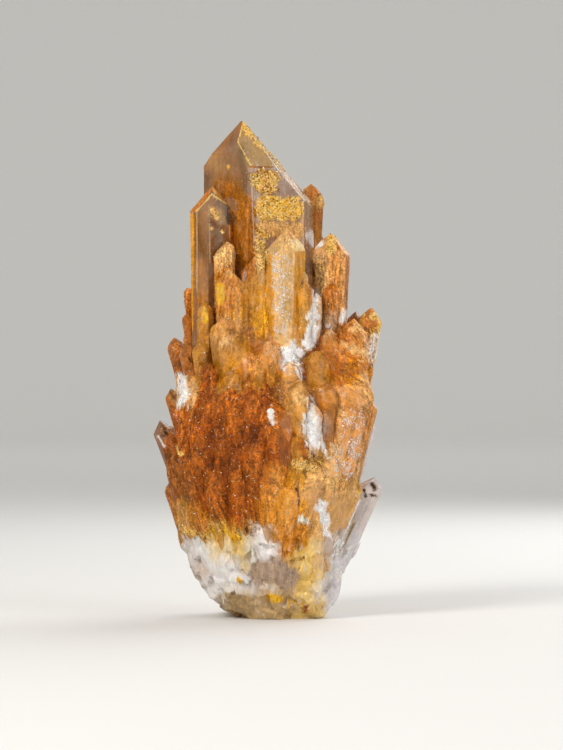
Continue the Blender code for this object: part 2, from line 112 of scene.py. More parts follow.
# apex across, down, depth; foot across, down, depth; circumradius; turn;
# squash; apex shift across, in depth; and what the crystal is made of
CRYSTALS = [
    # high crystals against the tall one
    (213, 187, -47, 213, 430, -34, 23.5, 22, 1.0, 0.05, -0.10, "smoke"),
    (311, 184, 24, 309, 430, 14, 13.0, -8, 1.0, -0.05, 0.00, "amber"),
    (287, 228, -61, 284, 430, -44, 21.0, 0, 0.9, 0.08, 0.10, "cream"),
    (227, 241, -62, 227, 420, -42, 11.5, 12, 1.0, 0.20, 0.00, "peach"),
    (229, 268, -72, 231, 440, -48, 15.0, 10, 0.9, -0.05, 0.10, "ochre"),
    (259, 253, -66, 257, 430, -46, 9.5, 6, 1.0, 0.30, 0.00, "golden"),
    (205, 301, -64, 210, 430, -46, 8.5, -10, 1.0, 0.00, 0.00, "rust"),
    (306, 281, -66, 303, 430, -46, 9.5, 5, 1.0, 0.10, 0.00, "golden"),
    (304, 272, -58, 301, 400, -46, 5.0, 12, 1.0, 0.00, 0.00, "cream"),
    (332, 233, -30, 327, 440, -26, 20.5, 17, 1.0, 0.02, 0.00, "tawny"),
    (333, 286, -46, 327, 430, -36, 8.5, -12, 1.0, 0.20, 0.00, "tawny"),
    (316, 292, -58, 312, 430, -42, 7.5, 18, 1.0, 0.00, 0.10, "milk"),
    (244, 281, -68, 246, 430, -48, 6.5, 26, 1.0, 0.10, 0.00, "golden"),
    # left shoulder
    (188, 287, -26, 197, 400, -20, 6.0, 0, 1.0, -0.10, 0.00, "rust"),
    (187, 313, -38, 203, 430, -30, 8.5, 15, 1.0, -0.20, 0.00, "amber"),
    (174, 337, -18, 204, 470, -16, 13.0, 8, 1.0, -0.20, 0.00, "umber"),
    (186, 343, -44, 211, 470, -34, 10.5, -14, 1.0, 0.00, 0.00, "amber"),
    (200, 340, -62, 213, 470, -44, 10.0, 4, 1.0, 0.00, 0.10, "umber"),
    (207, 361, -72, 221, 480, -50, 9.0, 20, 1.0, 0.00, 0.00, "rust"),
    (189, 372, -54, 211, 500, -40, 12.5, -6, 1.0, 0.10, 0.00, "peach"),
    # middle
    (219, 321, -76, 233, 470, -50, 20.0, 4, 0.9, -0.42, 0.00, "tawny"),
    (269, 335, -80, 270, 480, -54, 12.0, 6, 1.0, -0.10, 0.10, "peach"),
    (250, 352, -82, 252, 490, -54, 12.5, -14, 1.0, 0.00, 0.00, "peach"),
    (232, 371, -86, 243, 500, -56, 11.0, 16, 1.0, 0.00, 0.00, "rust"),
    (291, 361, -78, 288, 480, -54, 10.5, 10, 1.0, 0.10, 0.00, "orange"),
    (299, 378, -86, 297, 510, -58, 13.0, 30, 1.0, 0.05, 0.20, "peach"),
    (317, 349, -70, 313, 470, -50, 12.5, -10, 1.0, 0.00, 0.00, "tawny"),
    (330, 328, -60, 324, 440, -42, 11.0, 10, 1.0, 0.10, 0.00, "golden"),
    (271, 405, -92, 270, 530, -60, 12.5, 24, 1.0, 0.00, 0.00, "rust"),
    (253, 391, -90, 256, 510, -60, 10.5, 6, 1.0, 0.10, 0.00, "rust"),
    (220, 385, -82, 234, 510, -54, 10.5, 10, 1.0, 0.00, 0.00, "rust"),
    (284, 409, -90, 282, 540, -60, 9.5, 10, 1.0, 0.00, 0.10, "amber"),
    (313, 402, -80, 308, 530, -56, 11.5, -6, 1.0, 0.00, 0.00, "milk"),
    (301, 437, -84, 297, 550, -56, 11.0, 12, 1.0, 0.10, 0.00, "orange"),
    # right shoulder
    (356, 311, -2, 345, 440, -6, 10.0, 0, 1.0, 0.00, 0.00, "amber"),
    (371, 307, -14, 355, 460, -14, 13.0, 16, 1.0, -0.10, 0.00, "gold"),
    (354, 318, -44, 344, 450, -34, 16.0, 6, 1.0, -0.05, 0.10, "tawny"),
    (359, 366, -52, 346, 530, -38, 22.0, -4, 0.9, 0.05, 0.20, "peach"),
    (329, 381, -74, 322, 510, -52, 12.5, 14, 1.0, 0.00, 0.00, "amber"),
    (372, 400, -8, 354, 520, -10, 8.0, 0, 1.0, 0.00, 0.00, "peach"),
    (340, 348, -56, 334, 470, -42, 10.5, 20, 1.0, 0.00, 0.00, "orange"),
    (344, 398, -66, 333, 530, -46, 14.5, 24, 1.0, 0.00, 0.00, "peach"),
    # left flank, leaning out
    (171, 388, -14, 201, 510, -14, 10.0, 10, 1.0, -0.10, 0.00, "umber"),
    (180, 399, -44, 207, 520, -32, 10.0, -8, 1.0, 0.00, 0.00, "rust"),
    (160, 420, -6, 196, 530, -10, 11.5, 5, 1.0, 0.00, 0.00, "smoke"),
    (170, 430, -32, 201, 550, -26, 9.5, 16, 1.0, 0.00, 0.00, "umber"),
    (194, 402, -62, 216, 530, -42, 10.0, 8, 1.0, 0.00, 0.00, "rust"),
    (208, 396, -74, 226, 530, -50, 10.0, -14, 1.0, 0.00, 0.00, "rust"),
    (236, 402, -88, 245, 540, -60, 11.0, 14, 1.0, 0.00, 0.00, "rust"),
    (183, 428, -54, 209, 550, -40, 9.5, -4, 1.0, 0.00, 0.00, "rust"),
    (200, 432, -70, 220, 550, -46, 10.5, 18, 1.0, 0.00, 0.00, "rust"),
    (221, 424, -82, 234, 550, -54, 10.5, 2, 1.0, 0.00, 0.00, "rust"),
    (254, 438, -90, 256, 560, -60, 11.5, 20, 1.0, 0.00, 0.00, "rust"),
    (176, 462, -36, 203, 570, -28, 9.5, 0, 1.0, 0.00, 0.00, "umber"),
    (192, 470, -60, 213, 580, -40, 10.0, 14, 1.0, 0.00, 0.00, "rust"),
    (237, 458, -84, 243, 570, -54, 11.0, -10, 1.0, 0.00, 0.00, "rust"),
    (214, 468, -76, 227, 580, -48, 11.0, 8, 1.0, 0.00, 0.00, "rust"),
    (183, 505, -42, 206, 590, -28, 10.0, 6, 1.0, 0.00, 0.00, "olive"),
    (170, 480, -10, 198, 580, -8, 9.5, -12, 1.0, 0.00, 0.00, "umber"),
    (182, 528, -14, 206, 598, -10, 9.0, 12, 1.0, 0.00, 0.00, "olive"),
    # behind
    (281, 214, 50, 279, 400, 34, 21.0, 30, 1.0, 0.10, 0.10, "smoke"),
    (232, 258, 60, 236, 420, 40, 19.0, 8, 1.0, -0.15, 0.00, "golden"),
    (318, 292, 50, 312, 430, 34, 18.0, -12, 1.0, 0.10, 0.10, "tawny"),
    (257, 326, 80, 258, 470, 52, 21.0, 18, 0.95, 0.00, -0.10, "cream"),
    (207, 352, 58, 223, 490, 40, 16.0, 0, 1.0, 0.00, 0.00, "amber"),
    (300, 372, 84, 292, 500, 54, 19.0, -20, 1.0, 0.15, 0.00, "peach"),
    (352, 388, 38, 330, 520, 26, 15.0, 10, 1.0, 0.00, 0.00, "tawny"),
    (230, 420, 88, 240, 550, 56, 17.0, 24, 1.0, 0.00, 0.10, "rust"),
    # lower middle
    (271, 462, -88, 271, 580, -56, 13.5, 8, 1.0, 0.00, 0.00, "orange"),
    (290, 478, -82, 287, 590, -52, 12.0, -10, 1.0, 0.00, 0.00, "orange"),
    (314, 462, -78, 306, 595, -48, 15.5, 4, 1.0, 0.10, 0.00, "peach"),
    (331, 452, -72, 320, 570, -48, 12.5, 22, 1.0, 0.00, 0.00, "peach"),
    # lower right, clear
    (371, 421, -4, 345, 560, -4, 9.0, 10, 1.0, 0.20, 0.00, "clear"),
    (375, 477, -22, 322, 600, -12, 15.5, 2, 1.0, 0.20, 0.00, "clear"),
    (353, 482, -46, 317, 598, -26, 14.5, 16, 1.0, 0.00, 0.00, "apricot"),
    (335, 494, -60, 309, 600, -34, 13.0, -6, 1.0, 0.00, 0.00, "apricot"),
    (360, 538, -8, 325, 604, -4, 8.0, 8, 1.0, 0.00, 0.00, "clear"),
]

HEART = [
    (296, 228, 306, 44), (330, 205, 341, 62), (362, 191, 355, 75),
    (400, 182, 359, 83), (440, 178, 360, 86), (480, 178, 358, 84),
    (518, 180, 354, 78), (548, 183, 348, 71), (570, 189, 343, 63),
    (585, 199, 338, 57), (600, 211, 332, 51), (610, 220, 321, 46),
    (620, 228, 312, 43),
]

COLUMNS = [
    (309, 462, -60, 304, 660, -42, 17.0, 8, 1.0, 0.00, 0.00),
    (330, 470, -34, 319, 650, -20, 17.0, 20, 1.0, 0.00, 0.00),
    (206, 480, -34, 218, 650, -20, 15.0, -6, 1.0, 0.00, 0.00),
    (232, 470, -58, 239, 660, -38, 18.0, 14, 1.0, 0.00, 0.00),
    (268, 470, -64, 268, 660, -44, 18.0, -4, 1.0, 0.00, 0.00),
    (202, 480, 24, 216, 650, 14, 15.0, 10, 1.0, 0.00, 0.00),
    (236, 470, 60, 242, 655, 40, 18.0, 2, 1.0, 0.00, 0.00),
    (286, 470, 62, 282, 655, 42, 20.0, 16, 1.0, 0.00, 0.00),
    (330, 480, 30, 318, 650, 18, 17.0, -8, 1.0, 0.00, 0.00),
]

BREAKS = [
    ((199, 582, 0), (-0.72, 0.05, -0.69)), ((221, 605, 0), (-0.55, -0.20, -0.81)),
    ((333, 602, 0), (0.60, 0.10, -0.79)), ((262, 588, -64), (-0.10, -0.80, -0.60)),
    ((303, 605, -52), (0.30, -0.62, -0.72)), ((228, 604, -48), (-0.35, -0.60, -0.72)),
    ((262, 590, 62), (0.05, 0.82, -0.57)), ((232, 604, 50), (-0.40, 0.60, -0.70)),
    ((304, 606, 48), (0.38, 0.62, -0.69)),
]


# ------------------------------------------------------------------- colours
def srgb(r, g, b):
    c = np.array((r, g, b)) / 255.0
    return np.where(c <= 0.04045, c / 12.92, ((c + 0.055) / 1.055) ** 2.4)


PAINT = {
    "smoke": srgb(204, 156, 112), "clear": srgb(224, 220, 224),
    "lilac": srgb(176, 162, 158), "satin": srgb(186, 158, 120),
    "cream": srgb(224, 182, 126), "milk": srgb(246, 242, 240),
    "gold": srgb(226, 166, 62), "yellow": srgb(236, 180, 60),
    "golden": srgb(232, 160, 64), "amber": srgb(196, 114, 14),
    "orange": srgb(214, 130, 26), "bright": srgb(228, 146, 30),
    "tawny": srgb(196, 112, 34), "peach": srgb(218, 152, 100),
    "pink": srgb(204, 136, 82), "rust": srgb(150, 72, 4),
    "deep": srgb(134, 66, 12), "umber": srgb(126, 74, 22),
    "ochre": srgb(186, 128, 28), "olive": srgb(206, 176, 132),
    "lemon": srgb(246, 210, 132), "ash": srgb(200, 174, 154),
    "dark": srgb(66, 42, 24), "apricot": srgb(232, 178, 120),
    "bed": srgb(176, 114, 42), "bronze": srgb(164, 100, 40),
    "butter": srgb(246, 210, 128), "dusk": srgb(134, 104, 84),
}

# what a crystal is made of: colour, how clear, how grainy, how worn round
MADE_OF = {
    "smoke": ("smoke", 0.74, 0.03, 0.0), "clear": ("clear", 0.32, 0.05, 0.0),
    "cream": ("cream", 0.15, 0.45, 0.45), "milk": ("milk", 0.05, 0.8, 0.8),
    "gold": ("gold", 0.05, 0.8, 0.6), "golden": ("golden", 0.30, 0.35, 0.45),
    "amber": ("amber", 0.42, 0.25, 0.35), "orange": ("orange", 0.12, 0.55, 0.6),
    "tawny": ("tawny", 0.08, 0.75, 0.6), "peach": ("peach", 0.08, 0.7, 0.6),
    "apricot": ("apricot", 0.30, 0.30, 0.4),
    "rust": ("rust", 0.03, 0.9, 0.75), "umber": ("umber", 0.25, 0.55, 0.5),
    "ochre": ("ochre", 0.2, 0.5, 0.5), "olive": ("olive", 0.25, 0.4, 0.4),
    "tall": ("smoke", 0.86, 0.0, 0.0), "heart": ("rust", 0.0, 0.8, 0.8),
    "column": ("milk", 0.12, 0.35, 0.55),
}

# iron-stain zones over the whole cluster: across, down, reach, colour
STAINS = [
    (228, 255, 13, "apricot"), (230, 292, 15, "tawny"), (204, 300, 14, "tawny"),
    (258, 300, 15, "golden"), (285, 262, 18, "cream"), (284, 315, 18, "golden"),
    (310, 320, 11, "cream"), (331, 285, 18, "tawny"), (326, 322, 10, "ash"),
    (175, 352, 12, "tawny"), (192, 352, 10, "orange"), (186, 392, 9, "apricot"),
    (224, 342, 16, "peach"), (250, 366, 14, "tawny"), (272, 350, 9, "pink"),
    (291, 357, 8, "milk"), (320, 366, 13, "rust"), (350, 338, 15, "tawny"),
    (368, 320, 9, "gold"), (376, 346, 8, "clear"), (350, 374, 9, "orange"), (353, 396, 12, "peach"),
    (352, 420, 22, "peach"), (348, 470, 16, "apricot"), (299, 398, 12, "peach"),
    (315, 425, 9, "milk"), (328, 412, 8, "amber"), (212, 400, 26, "rust"),
    (246, 420, 22, "rust"), (205, 450, 26, "rust"), (232, 484, 26, "deep"),
    (182, 470, 16, "umber"), (272, 445, 15, "rust"), (285, 430, 9, "amber"),
    (304, 468, 10, "ochre"), (318, 490, 13, "apricot"), (277, 506, 18, "bright"),
    (246, 508, 18, "rust"), (190, 520, 11, "bed"), (226, 530, 11, "yellow"), (222, 550, 10, "lemon"),
    (292, 532, 14, "orange"), (318, 522, 11, "apricot"), (342, 505, 12, "apricot"),
    (204, 560, 12, "milk"), (238, 552, 13, "butter"), (228, 566, 14, "milk"), (262, 548, 12, "milk"),
    (309, 556, 13, "lemon"), (306, 580, 13, "butter"), (338, 556, 15, "clear"), (228, 582, 17, "milk"),
    (198, 570, 10, "ash"), (272, 577, 14, "ash"), (306, 604, 11, "lemon"), (322, 560, 9, "apricot"),
    (328, 592, 11, "clear"), (238, 604, 12, "olive"), (280, 602, 11, "olive"),
]

# places where the quartz is bare and smooth: across, down, reach, grain, clear
CALM = [
    (318, 500, 16, 0.26, 0.24), (337, 514, 14, 0.22, 0.30), (284, 506, 14, 0.34, 0.20),
    (352, 398, 13, 0.26, 0.14), (352, 346, 10, 0.30, 0.12), (260, 300, 12, 0.26, 0.12), (332, 470, 10, 0.34, 0.16),
    (256, 346, 9, 0.36, 0.22), (300, 336, 8, 0.24, 0.18), (312, 374, 8, 0.30, 0.26),
    (298, 410, 8, 0.32, 0.16), (205, 345, 7, 0.34, 0.24), (331, 372, 9, 0.34, 0.12),
    (350, 432, 15, 0.36, 0.10), (330, 400, 9, 0.30, 0.14), (300, 300, 7, 0.28, 0.14),
    (268, 350, 12, 0.36, 0.10), (285, 374, 11, 0.34, 0.12), (240, 366, 9, 0.40, 0.10),
    (292, 430, 9, 0.34, 0.12), (224, 330, 9, 0.42, 0.12),
]

# marks on single places: ends of a line, half width, colour, how clear, how
# grainy, and which drusy coat sits there; a number keeps it to one crystal
MARKS = [
    ((262, 229), (297, 230), 8, "apricot", 0.0, 1.0, "cream"),
    ((262, 180), (268, 181), 11.5, "bed", 0.0, 1.0, "gold"),
    ((266, 209), (292, 209), 12.5, "gold", 0.0, 1.0, "gold"),
    ((258, 244), (262, 262), 7, "apricot", 0.0, 0.9, "gold"),
    ((260, 232), (266, 236), 4, "bed", 0.0, 0.9, "gold"),
    ((220, 186), (240, 194), 8, "bronze", 0.1, 0.9, "rust"),
    ((248, 127), (285, 166), 5.5, "golden", 0.0, 1.0, "gold"),
    ((282, 162), (304, 192), 2.0, "bronze", 0.0, 0.8, "rust"),
    ((246, 206), (246, 268), 9, "bronze", 0.15, 0.8, "rust"),
    ((216, 150), (238, 127), 6, "bronze", 0.4, 0.30, "haze"),
    ((206, 168), (222, 148), 4, "peach", 0.5, 0.05, "haze"),
    ((240, 150), (247, 192), 5.5, "dusk", 0.5, 0.03, "haze"),
    ((212, 158), (220, 172), 7, "apricot", 0.5, 0.02, "haze"),
    ((222, 176), (236, 182), 6, "bronze", 0.4, 0.20, "haze"),
    ((208, 176), (206, 186), 4, "dusk", 0.5, 0.00, "haze"),
    ((196, 218), (204, 262), 5, "umber", 0.5, 0.05, "haze"),
    ((200, 262), (204, 296), 5, "peach", 0.4, 0.10, "haze"),
    ((200, 300), (206, 340), 6, "tawny", 0.3, 0.40, "haze"),
    ((213, 209), (218, 214), 4, "apricot", 0.3, 0.30, "haze"),
    ((222, 216), (222, 222), 4, "satin", 0.4, 0.10, "haze"),
    ((213, 210), (217, 218), 2.6, "apricot", 0.1, 0.60, "gold"),
    ((211, 228), (212, 229), 1.2, "yellow", 0.1, 0.60, "gold"),
    ((222, 231), (223, 232), 1.4, "yellow", 0.1, 0.60, "gold"),
    ((229, 166), (229, 168), 1.5, "yellow", 0.0, 0.40, None),
    ((243, 122), (238, 142), 0.5, "lemon", 0.1, 0.0, 1),
    ((238, 142), (251, 166), 0.5, "lemon", 0.1, 0.0, 1),
    ((247, 126), (278, 167), 0.8, "dark", 0.1, 0.0, 1),
    ((251, 167), (274, 167), 0.9, "umber", 0.1, 0.6, 1),
    ((276, 164), (312, 207), 0.5, "olive", 0.1, 0.1, 1),
    ((251, 168), (254, 246), 0.5, "ash", 0.1, 0.1, 1),
    ((303, 206), (303, 238), 0.7, "cream", 0.1, 0.1, 1),
    ((203, 171), (203, 190), 0.8, "golden", 0.2, 0.1, 1),
    ((192, 214), (191, 330), 2.3, "golden", 0.25, 0.3, 2),
    ((197, 212), (197, 292), 0.7, "cream", 0.3, 0.1, 2),
    ((192, 212), (212, 189), 2.0, "amber", 0.25, 0.3, 2),
    ((196, 212), (212, 194), 0.7, "butter", 0.2, 0.1, 2),
    ((214, 189), (234, 206), 2.4, "golden", 0.25, 0.3, 2),
    ((213, 195), (230, 206), 0.7, "butter", 0.2, 0.1, 2),
    ((231, 207), (232, 262), 2.4, "amber", 0.25, 0.4, 2),
    ((209, 206), (210, 262), 0.7, "satin", 0.3, 0.1, 2),
    ((212, 204), (230, 205), 0.8, "dusk", 0.3, 0.1, 2),
    # painted shadow: the dark patch high on the right face of the second crystal, where its inside lies in shade
    ((227, 208), (229, 222), 2.8, "dark", 0.1, 0.1, 2),
    ((224, 228), (228, 246), 3.0, "umber", 0.1, 0.1, 2),
    ((213, 238), (214, 262), 2.4, "umber", 0.3, 0.1, 2),
    ((212, 222), (220, 228), 2.2, "umber", 0.4, 0.1, 2),
    ((316, 293), (314, 316), 3.4, "milk", 0.0, 0.8, "white"),
    ((314, 318), (308, 348), 5.5, "milk", 0.0, 0.8, "white"),
    ((320, 327), (329, 325), 1.8, "milk", 0.0, 0.8, "white"),
    ((310, 396), (311, 416), 3.4, "milk", 0.0, 0.8, "white"),
    ((311, 420), (312, 440), 7.5, "milk", 0.0, 0.8, "white"),
    ((317, 446), (325, 454), 3.4, "milk", 0.0, 0.8, "white"),
    ((293, 346), (287, 359), 4.2, "milk", 0.0, 0.8, "white"),
    ((285, 360), (282, 370), 2.0, "milk", 0.0, 0.8, "white"),
    ((299, 352), (302, 357), 2.0, "milk", 0.0, 0.8, "white"),
    ((297, 368), (300, 377), 1.6, "milk", 0.0, 0.8, "white"),
    ((344, 313), (342, 322), 3, "milk", 0.0, 0.8, "white"),
    ((310, 236), (318, 243), 5, "milk", 0.0, 0.8, "white"),
    ((182, 382), (184, 402), 6, "milk", 0.0, 0.6, "white"),
    ((196, 384), (197, 402), 4, "apricot", 0.0, 0.6, "cream"),
    ((280, 262), (283, 330), 8, "cream", 0.12, 0.4, "frost"),
    ((354, 420), (346, 466), 11, "peach", 0.05, 0.5, "frost"),
    ((336, 452), (340, 462), 6, "apricot", 0.05, 0.5, "frost"),
    ((220, 286), (220, 300), 4, "yellow", 0.1, 0.2, None),
    ((204, 309), (205, 321), 3, "yellow", 0.1, 0.3, None),
    ((332, 238), (331, 249), 5, "gold", 0.0, 1.0, "gold"),
    ((311, 262), (313, 274), 2.4, "dark", 0.1, 0.4, None),
    ((304, 441), (308, 447), 1.5, "dark", 0.0, 0.4, None),
    ((311, 452), (313, 457), 1.2, "dark", 0.0, 0.4, None),
    ((303, 466), (304, 470), 1.1, "dark", 0.0, 0.4, None),
    ((246, 527), (248, 531), 1.4, "dark", 0.0, 0.4, None),
    ((188, 355), (191, 362), 1.3, "dark", 0.0, 0.4, None),
    ((163, 427), (168, 436), 1.8, "dark", 0.2, 0.2, None),
    ((158, 436), (164, 446), 1.2, "milk", 0.2, 0.2, None),
    ((296, 489), (297, 504), 0.9, "dark", 0.0, 0.3, None),
    ((168, 388), (174, 398), 1.3, "dark", 0.1, 0.3, None),
    ((176, 446), (182, 452), 1.5, "yellow", 0.0, 0.5, "gold"),
    ((345, 345), (362, 352), 4, "apricot", 0.0, 0.5, "cream"),
    ((352, 330), (358, 324), 3, "apricot", 0.0, 0.5, "cream"),
    ((338, 386), (352, 373), 1.6, "amber", 0.05, 0.5, None),
    ((352, 373), (368, 367), 1.4, "amber", 0.05, 0.5, None),
    ((350, 402), (352, 412), 7, "pink", 0.05, 0.35, None),
    ((222, 344), (232, 338), 4, "apricot", 0.0, 0.6, "cream"),
    ((292, 392), (300, 398), 5, "apricot", 0.0, 0.5, "cream"),
    ((372, 312), (371, 322), 6, "tawny", 0.0, 0.9, "cream"),
    ((374, 314), (372, 318), 2.5, "gold", 0.0, 0.9, "gold"),
    ((366, 330), (372, 332), 1.6, "dark", 0.0, 0.4, None),
    ((374, 334), (370, 352), 2.4, "milk", 0.0, 0.5, "frost"),
    ((270, 409), (273, 420), 2.0, "milk", 0.0, 0.5, "white"),
    ((319, 509), (321, 503), 3.6, "milk", 0.0, 0.7, "white"),
    ((323, 516), (325, 522), 4.0, "milk", 0.0, 0.7, "white"),
    ((324, 530), (329, 534), 3.8, "milk", 0.0, 0.7, "white"),
    ((334, 541), (340, 543), 3.2, "milk", 0.0, 0.6, "white"),
    ((300, 516), (306, 520), 2.8, "milk", 0.0, 0.5, "cream"),
    ((318, 508), (322, 514), 3, "milk", 0.0, 0.7, "white"),
    ((330, 560), (340, 552), 4, "milk", 0.1, 0.5, "frost"),
    ((372, 485), (375, 489), 2.8, "dark", 0.2, 0.0, None),
    ((364, 490), (366, 497), 1.3, "dark", 0.2, 0.0, None),
    ((371, 495), (376, 496), 1.5, "dark", 0.2, 0.0, None),
    ((359, 486), (378, 478), 0.8, "milk", 0.2, 0.2, None),
    ((379, 480), (383, 494), 0.8, "milk", 0.2, 0.2, None),
    ((381, 497), (352, 558), 1.0, "milk", 0.2, 0.3, None),
    ((360, 500), (336, 552), 1.0, "milk", 0.2, 0.3, None),
    ((366, 504), (346, 548), 0.8, "milk", 0.4, 0.1, None),
    ((354, 524), (340, 552), 1.2, "satin", 0.3, 0.3, None),
    ((350, 546), (334, 580), 2.2, "milk", 0.2, 0.4, "frost"),
    ((300, 440), (306, 458), 3.0, "umber", 0.0, 0.9, "rust"),
    ((262, 572), (288, 578), 11, "ash", 0.35, 0.3, None),
    ((226, 602), (246, 604), 8, "olive", 0.30, 0.3, None),
    ((272, 598), (288, 602), 4, "yellow", 0.0, 0.4, None),
    ((238, 580), (239, 582), 2, "yellow", 0.0, 0.4, None),
    ((305, 609), (306, 612), 3, "rust", 0.0, 0.8, None),
    ((186, 528), (200, 534), 4, "gold", 0.0, 0.8, "gold"),
    ((300, 462), (312, 470), 5, "ochre", 0.0, 0.8, "gold"),
    ((357, 482), (359, 492), 3, "gold", 0.0, 0.8, "gold"),
]


# facets with looks of their own: solid number, which way the facet looks,
# colour, how clear, how grainy, how much iron
FACETS = [
    (1, (0.32, -0.95, 0.00), "lilac", 0.35, 0.10, 0.1),
    (1, (-0.66, -0.75, 0.00), "smoke", 0.62, 0.03, 0.6),
    (1, (0.98, -0.20, 0.00), "dusk", 0.40, 0.20, 0.6),
    (1, (0.77, -0.16, 0.62), "lilac", 0.25, 0.40, 0.6),
    (1, (0.25, -0.75, 0.62), "satin", 0.22, 0.04, 0.1),
    (1, (-0.52, -0.59, 0.62), "smoke", 0.66, 0.02, 0.6),
    (2, (-0.62, -0.79, -0.06), "smoke", 0.62, 0.04, 0.6),
    (2, (0.37, -0.92, -0.07), "dusk", 0.50, 0.10, 0.6),
    (2, (0.99, -0.14, -0.02), "amber", 0.60, 0.05, 0.3),
    (4, (0.00, -0.99, -0.10), "cream", 0.16, 0.40, 0.2),
    (4, (-0.84, -0.54, -0.05), "golden", 0.20, 0.25, 0.4),
    (4, (0.84, -0.54, -0.08), "golden", 0.20, 0.25, 0.4),
    (4, (-0.66, -0.48, 0.58), "cream", 0.30, 0.30, 0.3),
    (4, (0.68, -0.48, 0.56), "lemon", 0.24, 0.34, 0.3),
    (11, (0.97, -0.22, -0.05), "bronze", 0.20, 0.55, 0.8),
    (11, (-0.68, -0.73, -0.02), "olive", 0.05, 0.85, 0.9),
    (11, (0.29, -0.96, -0.05), "peach", 0.08, 0.80, 0.8),
    (11, (-0.52, -0.59, 0.62), "apricot", 0.15, 0.40, 0.2),
    (11, (0.78, -0.19, 0.60), "golden", 0.20, 0.40, 0.3),
]


# ------------------------------------------------------------------ geometry
def place(across, down, depth):
    grow = 1.0 + depth / EYE_FAR
    x = (across - EYE_X) * grow + (EYE_X - FOOT_X)
    z = (EYE_Y - down) * grow + (FOOT_Y - EYE_Y)
    return Vector((x, depth - FOOT_DEPTH, z)) * UNIT


def on_sheet(co):
    """Sheet across, down and depth of model points, the reverse of place."""
    depth = co[:, 1] / UNIT + FOOT_DEPTH
    grow = 1.0 + depth / EYE_FAR
    across = (co[:, 0] / UNIT - (EYE_X - FOOT_X)) / grow + EYE_X
    down = EYE_Y - (co[:, 2] / UNIT - (FOOT_Y - EYE_Y)) / grow
    return across, down, depth


def between(rows, down):
    for r0, r1 in zip(rows, rows[1:]):
        if r0[0] <= down <= r1[0]:
            t = (down - r0[0]) / (r1[0] - r0[0])
            return [r0[k] + t * (r1[k] - r0[k]) for k in range(1, len(r0))]
    return list(rows[0][1:] if down < rows[0][0] else rows[-1][1:])


DEPTHS = [(180, 50), (240, 62), (300, 74), (350, 84), (400, 90), (450, 92),
          (500, 86), (550, 72), (600, 52), (616, 40)]


def back_crystals():
    rng = random.Random(7)
    rows = []
    rings = [(204, 1), (240, 2), (268, 3), (296, 4), (324, 5), (350, 6),
             (378, 6), (406, 7), (434, 7), (462, 7), (490, 6), (518, 5)]
    for n, (down, count) in enumerate(rings):
        for k in range(count):
            share = (k + 0.5 + (0.25 if n % 2 else -0.25)) / count
            bearing = math.radians(-84 + 168 * share + rng.uniform(-5, 5))
            y = down + rng.uniform(-10, 10)
            big = rng.random()
            r = 8.0 + 7.5 * big * big + (3.0 if down < 300 else 0.0)
            left, right = between(OUTLINE, y + 1.2 * r)
            middle, half = (left + right) / 2, (right - left) / 2
            x = middle + (half - r - 4.0) * math.sin(bearing)
            d = (between(DEPTHS, y + r)[0] - 0.35 * r) * math.cos(bearing)
            lean = 0.80 - 0.25 * min(1.0, max(0.0, (y - 200) / 250))
            fx = 262 + (x - 262) * lean
            rows.append((x, y, d, fx, y + 130, d * lean, r, rng.uniform(-30, 30),
                         rng.uniform(0.85, 1.0), rng.uniform(-0.25, 0.25),
                         rng.uniform(-0.2, 0.2)))
    return rows


def thin_crystals(rows):
    """Thin crystals that grew along the front and flanks of larger ones."""
    rng = random.Random(41)
    out = []
    for row in rows:
        apex, foot, r = row[:3], row[3:6], row[6]
        if apex[1] < 290 or apex[1] > 485 or r < 8.5 or row[11:] in (("clear",), ("smoke",)):
            continue
        middle, deep = 268.0, between(DEPTHS, apex[1])[0]
        away = math.atan2(apex[2] / deep, (apex[0] - middle) / 95.0)
        for _ in range(3 if 395 < apex[1] < 480 and apex[0] < 275 else 2):
            a = away + rng.uniform(-1.5, 1.5)
            reach = r * rng.uniform(0.62, 0.95)
            s = rng.uniform(0.06, 0.42)
            x, y, d = (p + s * (q - p) for p, q in zip(apex, foot))
            x, d = x + reach * math.cos(a), d + reach * math.sin(a)
            left, right = between(OUTLINE, y)
            if not left + 5 < x < right - 5 or (x > 312 and y > 345):
                continue
            out.append((x, y, d, foot[0] + 0.6 * reach * math.cos(a), foot[1] + 10,
                        foot[2] + 0.5 * reach * math.sin(a), r * rng.uniform(0.26, 0.5),
                        rng.uniform(-30, 30), 1.0, rng.uniform(-0.2, 0.2), 0.0, row[11:]))
    return out


def rooted(apex, foot, radius):
    for step in range(10, 80):
        s = step / 20.0
        x, y, d = (a + s * (f - a) for a, f in zip(apex, foot))
        if y > 584:
            break
        left, right, deep = between(HEART, y)
        half = (right - left) / 2
        u = (x - (left + right) / 2) / max(half - 0.3 * radius, 4.0)
        v = d / max(deep - 0.3 * radius, 4.0)
        if y > HEART[1][0] and u * u + v * v < 0.96:
            return x, y, d
    y = min(max(foot[1], apex[1] + 100), 584)
    left, right, deep = between(HEART, y)
    middle, half = (left + right) / 2, (right - left) / 2
    u = (foot[0] - middle) / (half - 0.5 * radius)
    v = foot[2] / (deep - 0.5 * radius)
    pull = min(1.0, 0.95 / math.hypot(u, v))
    return middle + (foot[0] - middle) * pull, y, foot[2] * pull


def cut(bm, point, normal, kind):
    if all((v.co - point).dot(normal) > -1e-6 for v in bm.verts):
        return
    bmesh.ops.bisect_plane(
        bm, geom=bm.verts[:] + bm.edges[:] + bm.faces[:], dist=1e-7,
        plane_co=point, plane_no=normal, clear_outer=True)
    lay = bm.faces.layers.int["kind"]
    new = bmesh.ops.holes_fill(bm, edges=[e for e in bm.edges if e.is_boundary],
                               sides=0)["faces"]
    for f in new:
        f[lay] = kind


